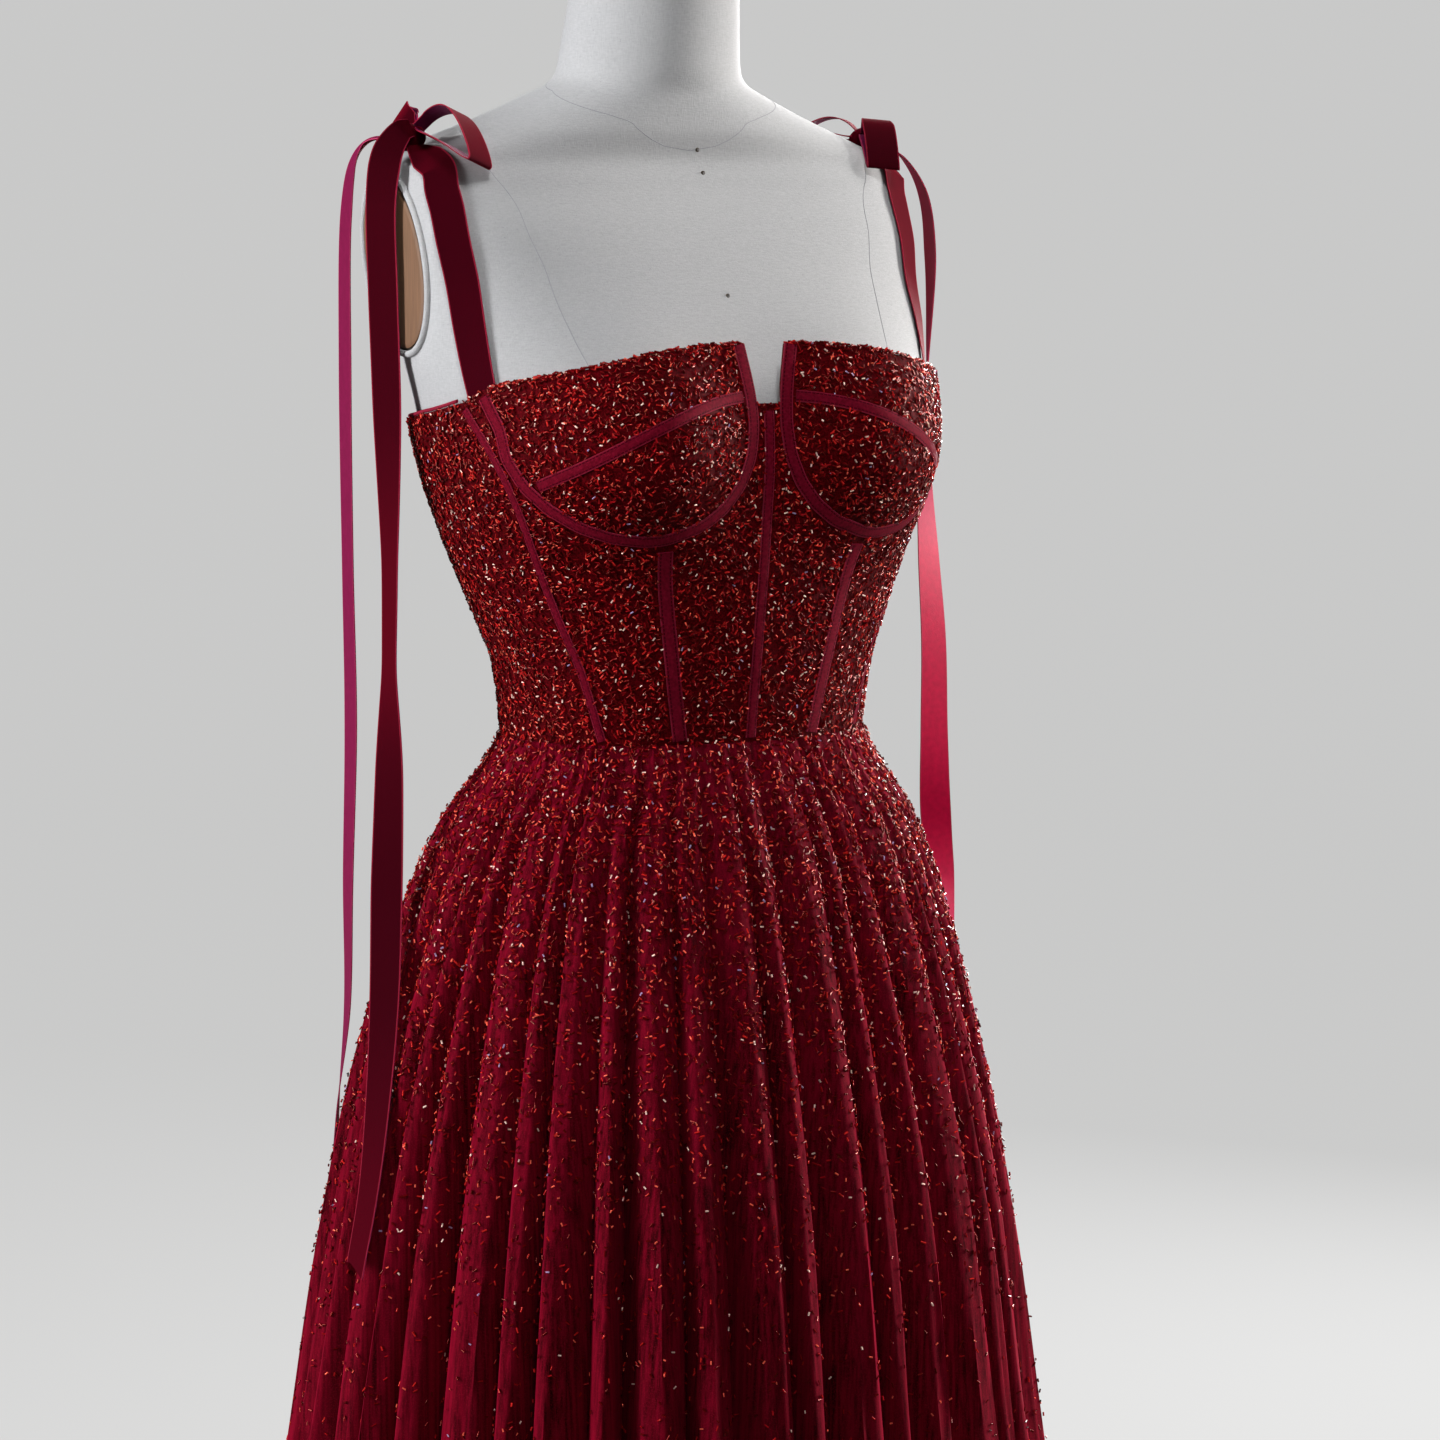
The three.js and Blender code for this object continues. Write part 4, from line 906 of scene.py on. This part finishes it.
# Rows of x, y, rise, the ribbon's turn in plan and its tilt in degrees, and its width.
TAILS = {
    "front_right": [
        [-166.8, 32.6, 367, -29, -60, 11], [-173.4, 31.4, 365.1, -29, -45, 14],
        [-179, 37.5, 354.5, -36, -24, 18.5], [-180.5, 42, 343, -50, -5, 21],
        [-181, 46, 320, -57, 0, 21], [-180.5, 45, 270, -57, 0, 21],
        [-179, 44, 200, -60, 0, 21], [-178, 44, 110, -88, 0, 21], [-179, 44, 40, -92, 0, 21],
        [-180.5, 42, -20, -62, 0, 21], [-186.5, 34, -90, -48, 0, 21], [-198, 14, -155, -52, 0, 20],
        [-207.5, 2, -205, -66, 0, 20], [-219, -7, -265, -80, 0, 20], [-230.5, -11, -313, -84, 0, 20],
    ],
    "back_right": [
        [-165, 50.6, 361, 40, 0, 12], [-173, 78, 359, 66, 0, 18], [-175, 98, 345, 78, 0, 21],
        [-175, 109, 316, 84, 0, 21], [-175, 113, 220, 86, 0, 21], [-174, 114, 100, 84, 0, 21],
        [-173, 114, 0, 86, 0, 21], [-175, 116, -100, 83, 0, 20], [-176, 117, -180, 76, 0, 20],
        [-181, 121, -240, 62, 0, 20], [-178, 133, -278, 56, 0, 20],
    ],
    "front_left": [
        [165.2, 38, 362, 50, 0, 12], [177, 28, 350, 66, 0, 18], [185, 18, 328, 74, 0, 21],
        [187, 12, 290, 78, 0, 21], [183, 8, 220, 60, 0, 21], [179, 4, 150, 34, 0, 21],
        [180.3, 1, 100, 20, 0, 21], [184, 0, 45, 10, 0, 21], [185, 0, -15, 3, 0, 21],
        [186.5, 0, -65, -12, 0, 21], [191, 0, -105, 4, 0, 21], [200.5, 2, -150, 48, 0, 20],
        [209, 7, -195, 78, 0, 20], [222, 14, -260, 84, 0, 20], [237, 22, -340, 86, 0, 20],
    ],
    "back_left": [
        [159, 52.4, 363, 150, 0, 12], [164, 82, 361, 122, 0, 18], [160, 112, 350, 130, 0, 20],
        [156, 130, 318, 138, 0, 20], [152, 138, 250, 144, 0, 20], [150, 140, 160, 140, 0, 20],
        [150, 141, 0, 144, 0, 20], [152, 144, -110, 140, 0, 20], [158, 154, -200, 136, 0, 20],
        [166, 166, -290, 134, 0, 20],
    ],
}


def shoulder_rise(x, y):
    """The rise of the form's shoulder over a place in plan, found by halving."""
    low, high = np.full(np.shape(x), 240.0), np.full(np.shape(x), 400.0)
    for _ in range(24):
        rise = (low + high) / 2
        centre = read(FORM, "centre", rise)
        depth = np.where(y < centre, read(FORM, "front", rise), read(FORM, "back", rise))
        power = read(FORM, "power", rise)
        share = np.abs(x / read(FORM, "half", rise)) ** power + np.abs((y - centre) / depth) ** power
        low, high = np.where(share < 1, rise, low), np.where(share < 1, high, rise)
    return low


def strap_rows(name, side, sign):
    b = np.array(STRAPS[name][side], float)
    g = np.stack([sign * b[:, 0] * DEG, b[:, 1]], -1)
    along = frame_at(on_form, g[:, 0], g[:, 1])[0]
    if along[0, 0] < 0:
        along = -along
    point = off(on_form, g, np.full(len(g), STRAP_LIFT))
    q = np.array(STRAPS[name]["shoulder"], float)
    x, y = q[:, 0], q[:, 1]
    slope_x = (shoulder_rise(x + 1, y) - shoulder_rise(x - 1, y)) / 2
    slope_y = (shoulder_rise(x, y + 1) - shoulder_rise(x, y - 1)) / 2
    normal = unit(np.stack([-slope_x * sign, -slope_y, np.ones(len(x))], -1))
    top = np.stack([sign * x, y, WAIST + shoulder_rise(x, y)], -1) + normal * STRAP_LIFT
    over = np.stack([np.ones(len(x)), np.zeros(len(x)), slope_x * sign], -1)
    forward = -1 if name == "front" else 1
    k = KNOT[side]
    end = [k[0], k[1] + forward * 7.4, WAIST + k[2] - 4.6 + forward * 0.4]
    points = np.concatenate([point, top, [end]])
    across = np.concatenate([along, over, [[1, 0, 0]]])
    width = np.array([RIBBON] * (len(points) - 1) + [12])
    return points, across, width


def catmull(points, s):
    """The centripetal Catmull-Rom curve through the points."""
    p = np.concatenate([[2 * points[0] - points[1]], points, [2 * points[-1] - points[-2]]])
    n = len(points)
    f = s * (n - 1)
    k = np.minimum(f.astype(int), n - 2)
    w = (f - k)[:, None]
    p0, p1, p2, p3 = p[k], p[k + 1], p[k + 2], p[k + 3]
    gap = lambda a, b: np.sqrt(np.linalg.norm(b - a, axis=-1, keepdims=True))
    d0, d1, d2 = gap(p0, p1), gap(p1, p2), gap(p2, p3)
    t1 = ((p1 - p0) / d0 - (p2 - p0) / (d0 + d1) + (p2 - p1) / d1) * d1
    t2 = ((p2 - p1) / d1 - (p3 - p1) / (d1 + d2) + (p3 - p2) / d2) * d1
    c2, c3 = -3 * p1 + 3 * p2 - 2 * t1 - t2, 2 * p1 - 2 * p2 + t1 + t2
    return p1 + t1 * w + c2 * w**2 + c3 * w**3


def smooth_rows(points, across, width, count):
    s = np.linspace(0, 1, count)
    f = s * (len(points) - 1)
    index = np.arange(len(points))
    ease = np.stack([np.interp(f, index, across[:, k]) for k in range(3)], -1)
    return catmull(points, s), soften(ease, max(2, count // 24)), np.interp(f, index, width)


def ribbon(name, points, across, width, faces, cut=0):
    """A strip of ribbon along a line of points. The cut slants its far end."""
    way = unit(np.gradient(points, axis=0))
    side = unit(across - (across * way).sum(-1, keepdims=True) * way)
    face = unit(np.cross(side, way))
    v = np.linspace(-0.5, 0.5, RIBBON_COLUMNS)
    grid = points[:, None] + side[:, None] * (v[None] * width[:, None])[..., None]
    if cut:
        grid[-1] += way[-1] * (cut * v * 2)[:, None]
    n = face[:, None] * (RIBBON_WALL / 2)
    o = wall_mesh(f"{name}_cloth", grid + n, grid - n, faces, angle=50)
    mount(o, [name])


def knot(side):
    turn = circle(KNOT_TURNS)
    tilt = np.linspace(-math.pi / 2, math.pi / 2, KNOT_ROWS)[:, None]
    crease = 1 + 0.07 * np.sin(turn * 7 + 0.6)[None] * np.cos(tilt)
    ball = np.stack([
        KNOT_SIZE[0] * np.cos(tilt) * np.cos(turn) * crease,
        KNOT_SIZE[1] * np.cos(tilt) * np.sin(turn) * crease,
        KNOT_SIZE[2] * np.sin(tilt) * np.ones_like(turn),
    ], -1) + np.array(KNOT[side]) + [0, 0, WAIST]
    uv = np.stack([np.tile(turn * 8, KNOT_ROWS), np.repeat(np.linspace(0, 1, KNOT_ROWS), KNOT_TURNS)], -1)
    quads = grid_quads(KNOT_ROWS, KNOT_TURNS, closed=True)
    o = new_mesh(f"bow_knot_{side}_cloth", ball, quads, VELVET, uv)
    mount(o, [f"bow_knot_{side}"])


def ribbons():
    for side, sign in SIDES[::-1]:
        knot(side)
        for name in STRAPS:
            rows = smooth_rows(*strap_rows(name, side, sign), 90)
            faces = [REVERSE, VELVET] if name == "back" else [VELVET, REVERSE]
            ribbon(f"strap_{name}_{side}", *rows, faces)
    for name, (foot, to, across, length, height, arch) in LOOPS.items():
        middle = np.array(KNOT[name.split("_")[1]], float) + [0, 0, WAIST]
        way = unit(np.array(to, float))
        wide = np.array(across, float)
        wide = unit(wide - (wide @ way) * way)
        tall = np.cross(wide, way)
        turn = np.linspace(28, 332, 64) * DEG
        reach = length / 2 * (1 - np.cos(turn))
        points = middle + np.array(foot, float) + way * reach[:, None]
        points = points + tall * (height / 2 * np.sin(turn) * (1.1 - 0.5 * (reach / length) ** 2))[:, None]
        points[:, 2] += arch * np.sin(math.pi * reach / length)
        inside = np.array([0.45, 0.65, 0.85])[:, None]
        start, stop = (middle + (end - middle) * inside for end in (points[0], points[-1]))
        points = np.concatenate([start, points, stop[::-1]])
        reach = np.concatenate([[0, 0, 0], reach, [0, 0, 0]])
        width = 11 + (RIBBON - 11) * np.minimum(1, 1.8 * reach / length)
        ribbon(f"bow_loop_{name}", points, np.broadcast_to(wide, points.shape), width, [VELVET, REVERSE])
    for name, rows in TAILS.items():
        r = np.array(rows, float)
        a, b = r[:, 3] * DEG, r[:, 4] * DEG
        across = np.stack([np.cos(a) * np.cos(b), np.sin(a) * np.cos(b), np.sin(b)], -1)
        rows = smooth_rows(r[:, :3] + [0, 0, WAIST], across, r[:, 5], 240)
        ribbon(f"bow_tail_{name}", *rows, TAIL_FACES[name], cut=5)


# Dress form
def tube(name, line, radius, material, sides=6, closed=False):
    line = np.asarray(line, float)
    way = unit(np.roll(line, -1, 0) - np.roll(line, 1, 0) if closed else np.gradient(line, axis=0))
    side = unit(np.cross(way, [0.3, 0.5, 0.81]))
    other = np.cross(way, side)
    a = circle(sides)
    ring = side[:, None] * np.cos(a)[None, :, None] + other[:, None] * np.sin(a)[None, :, None]
    ring = line[:, None] + radius * ring
    quads = grid_quads(len(line), sides, closed=True, flip=True)
    if closed:
        k = np.arange(sides)
        last = (len(line) - 1) * sides
        join = np.stack([last + k, k, (k + 1) % sides, last + (k + 1) % sides], -1)
        quads = np.concatenate([quads, join])
    return new_mesh(name, ring, quads, material)


def add_faces(o, faces, recalc=False):
    """Adds faces of any number of corners."""
    bm = bmesh.new()
    bm.from_mesh(o.data)
    bm.verts.ensure_lookup_table()
    for face in faces:
        bm.faces.new([bm.verts[int(k)] for k in face])
    if recalc:
        bmesh.ops.recalc_face_normals(bm, faces=bm.faces)
    bm.to_mesh(o.data)
    bm.free()


NECK_SEAM = [0, 5, 6.5, 16, 26, 75, 130, 180], [354, 358.5, 361, 371, 375, 390, 399, 402]
FRONT_PRINCESS = [200, 265, 294, 322, 336, 350, 361, 370], [35, 35.5, 34, 33.5, 37, 44, 66, 95]
BACK_PRINCESS = [180, 240, 300, 345], [148, 149, 146, 138]
SEAM_RADIUS = 0.2
PINS = [(0.5, 354.5), (0.5, 340.5), (0, 267)]
PIN_HEAD = (-0.8, 1.3), (0.5, 1.3), (0.9, 0.7)
PLATE_HALF, PLATE_MIDDLE, PLATE_LEAN = (37, 57), (52, 287), -30 * DEG
PLATE_RINGS = (-1.5, 168.4), (-1.2, 169.8), (-2.2, 170.6), (-4, 170.8), (-34, 170.9)
PLATE_SIDES = 72


def torso():
    rises = np.concatenate([np.linspace(-240, 240, 70), np.linspace(244, 420, 70), np.linspace(424, 490, 12)])
    points = on_form(circle(180)[None], rises[:, None])
    rows, cols = points.shape[:2]
    verts = np.concatenate([points.reshape(-1, 3), [[0, 12, WAIST - 240], [0, 27, WAIST + 490]]])
    k = np.arange(cols)
    n, last = rows * cols, (rows - 1) * cols
    foot = np.stack([np.full(cols, n), (k + 1) % cols, k], -1)
    cap = np.stack([np.full(cols, n + 1), last + k, last + (k + 1) % cols], -1)
    o = new_mesh("form_torso_linen", verts, grid_quads(rows, cols, closed=True), LINEN, angle=50)
    add_faces(o, [*foot, *cap])
    mount(o, ["form_torso"])


def form_seams():
    t = np.linspace(-math.pi, math.pi, 121)[:-1]
    seams = [(on_form(t, np.interp(np.abs(t) / DEG, *NECK_SEAM)), True)]
    for sign in (-1, 1):
        r = np.linspace(200, 370, 60)
        seams.append((on_form(sign * soften(np.interp(r, *FRONT_PRINCESS), 12) * DEG, r), False))
        r = np.linspace(180, 345, 50)
        seams.append((on_form(sign * np.interp(r, *BACK_PRINCESS) * DEG, r), False))
    for k, (line, closed) in enumerate(seams):
        mount(tube(f"form_seam_{k}", line, SEAM_RADIUS, SEAM, closed=closed), [])
    for k, (a, r) in enumerate(PINS):
        p = on_form(a * DEG, r)
        v = [[p[0] + radius * math.cos(w), p[1] - depth, p[2] + radius * math.sin(w)]
             for depth, radius in PIN_HEAD for w in circle(12)]
        mount(new_mesh(f"form_pin_{k}", v, grid_quads(3, 12, closed=True), PIN), [])


def arm_plate(side, sign):
    a = circle(PLATE_SIDES)
    cos, sin = math.cos(PLATE_LEAN), math.sin(PLATE_LEAN)

    def ring(grow, x):
        y, z = (PLATE_HALF[0] + grow) * np.cos(a), (PLATE_HALF[1] + grow) * np.sin(a)
        across, up = y * cos - z * sin, y * sin + z * cos
        up = WAIST + PLATE_MIDDLE[1] + up
        return np.stack([np.full(len(a), sign * x), PLATE_MIDDLE[0] + across, up], -1)

    last = (len(PLATE_RINGS) - 1) * PLATE_SIDES
    o = new_mesh(f"form_arm_plate_{side}_board", np.concatenate([ring(*k) for k in PLATE_RINGS]),
                 grid_quads(len(PLATE_RINGS), PLATE_SIDES, closed=True, flip=sign > 0), BOARD, angle=35)
    add_faces(o, [range(last, last + PLATE_SIDES)], recalc=True)
    mount(o, [f"form_arm_plate_{side}"])
    mount(tube(f"form_arm_rim_{side}", ring(2.2, 169.0), 2.1, LINEN, 12, True), [])
    # A thin dark ring in the gap between the plate and its rim paints the shade in that gap.
    mount(tube(f"form_arm_gap_shade_{side}", ring(-0.4, 168.6), 0.7, PIN, 6, True), [])


def hard_parts():
    for name, material in (("form_neck_cap", BOARD), ("stand_pole", STEEL), ("stand_base", IRON),
                           ("zip_slider", ZIP_METAL), ("zip_bridge", ZIP_METAL), ("zip_pull_tab", ZIP_METAL)):
        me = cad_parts[name].data
        me.materials.clear()
        me.materials.append(material)
        if material is not ZIP_METAL:
            smooth(me, 25)


# Setting
BOWL_FLAT, BOWL_ROUND, BOWL_TOP, BOWL_FLOOR = 7000, 2500, 7000, -0.2
BOWL_SIDES = 96
# name, place, size, power, colour, target, spread
LAMPS = [
    ("key_right", (3.0, -0.6, 1.9), (0.7, 2.2), 165, (1, 0.97, 0.94), (0, 0, 1.1), 180),
    ("fill_left", (-3.2, 0.6, 1.8), (0.9, 2.4), 145, (0.97, 0.98, 1), (0, 0, 1.1), 180),
    ("front_top", (-0.9, -2.6, 3.9), (1.2, 1.0), 2.5, (1, 1, 1), (0, 0, 1.48), 24),
    ("front_low", (-1.2, -3.6, 1.6), (1.0, 1.6), 4, (1, 1, 1), (0, 0, 1.1), 180),
    ("rim_back", (2.4, 1.9, 2.0), (0.8, 2.0), 150, (1, 1, 1), (0, 0, 1.1), 180),
]
PHOTO_SIZE = 1440
FOCAL_PIXELS = 2600 / 0.62
SHIFT_PIXELS = 38, 7
AZIMUTH, ELEVATION = -29 * DEG, 7 * DEG
CAMERA_REACH, CAMERA_RISE = 2.6, 1.07
SENSOR = 36


def backdrop():
    """A floor that curves up into a wall all round. Its glow shows to the camera and lights nothing."""
    pale, nt, b = shader("backdrop")
    surface(nt, b, (0.22, 0.22, 0.22), 0.95, 0.05)
    glow = node(nt, "Emission", {0: (0.88, 0.88, 0.875)})
    seen = calc(nt, "MULTIPLY", node(nt, "LightPath").outputs["Is Camera Ray"], 0.65)
    both = node(nt, "MixShader", {0: seen, 1: b.outputs[0], 2: glow.outputs[0]})
    put(nt, nt.nodes["Material Output"], {0: both.outputs[0]})
    curve = [(1, BOWL_FLOOR), (2000, BOWL_FLOOR), (BOWL_FLAT, BOWL_FLOOR)]
    for w in np.arange(1, 13) / 12 * math.pi / 2:
        rise = BOWL_ROUND - BOWL_ROUND * math.cos(w) + BOWL_FLOOR
        curve.append((BOWL_FLAT + BOWL_ROUND * math.sin(w), rise))
    curve.append((BOWL_FLAT + BOWL_ROUND, BOWL_TOP))
    reach, rise = np.array(curve, float).T[..., None]
    a = circle(BOWL_SIDES)
    v = np.stack([reach * np.cos(a), reach * np.sin(a), np.repeat(rise, BOWL_SIDES, 1)], -1)
    new_mesh("backdrop_bowl", v, grid_quads(len(curve), BOWL_SIDES, closed=True), pale)


def lights():
    world = bpy.data.worlds.new("studio")
    bpy.context.scene.world = world
    world.use_nodes = True
    sky = world.node_tree.nodes["Background"]
    sky.inputs[0].default_value = (0.95, 0.97, 1.0, 1)
    sky.inputs[1].default_value = 0.12
    for name, place, size, power, colour, target, spread in LAMPS:
        light = bpy.data.lights.new(name, "AREA")
        light.shape = "RECTANGLE"
        light.size, light.size_y = size
        light.energy = power
        light.color = colour
        light.spread = spread * DEG
        o = new_object(name, light)
        o.location = place
        o.rotation_euler = (Vector(target) - Vector(place)).to_track_quat("-Z", "Y").to_euler()


def camera():
    level = math.cos(ELEVATION)
    back = Vector((math.sin(AZIMUTH) * level, -math.cos(AZIMUTH) * level, math.sin(ELEVATION)))
    right = Vector((math.cos(AZIMUTH), math.sin(AZIMUTH), 0))
    up = back.cross(right)
    data = bpy.data.cameras.new("camera")
    data.sensor_fit = "HORIZONTAL"
    data.sensor_width = SENSOR
    data.lens = SENSOR * FOCAL_PIXELS / PHOTO_SIZE
    data.shift_x, data.shift_y = (k / PHOTO_SIZE for k in SHIFT_PIXELS)
    data.clip_start, data.clip_end = 0.05, 60
    o = new_object("camera", data)
    place = back * CAMERA_REACH + Vector((0, 0, CAMERA_RISE))
    rows = [(right[k], up[k], back[k], place[k]) for k in range(3)]
    o.matrix_world = Matrix((*rows, (0, 0, 0, 1)))
    bpy.context.scene.camera = o


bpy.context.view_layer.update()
bodice()
top_edges()
skirt()
ribbons()
torso()
form_seams()
for arm in SIDES[::-1]:
    arm_plate(*arm)
hard_parts()
backdrop()
lights()
camera()

scene = bpy.context.scene
scene.view_settings.view_transform = "Standard"
scene.cycles.max_bounces = 4
scene.cycles.diffuse_bounces = 2
scene.cycles.glossy_bounces = 1
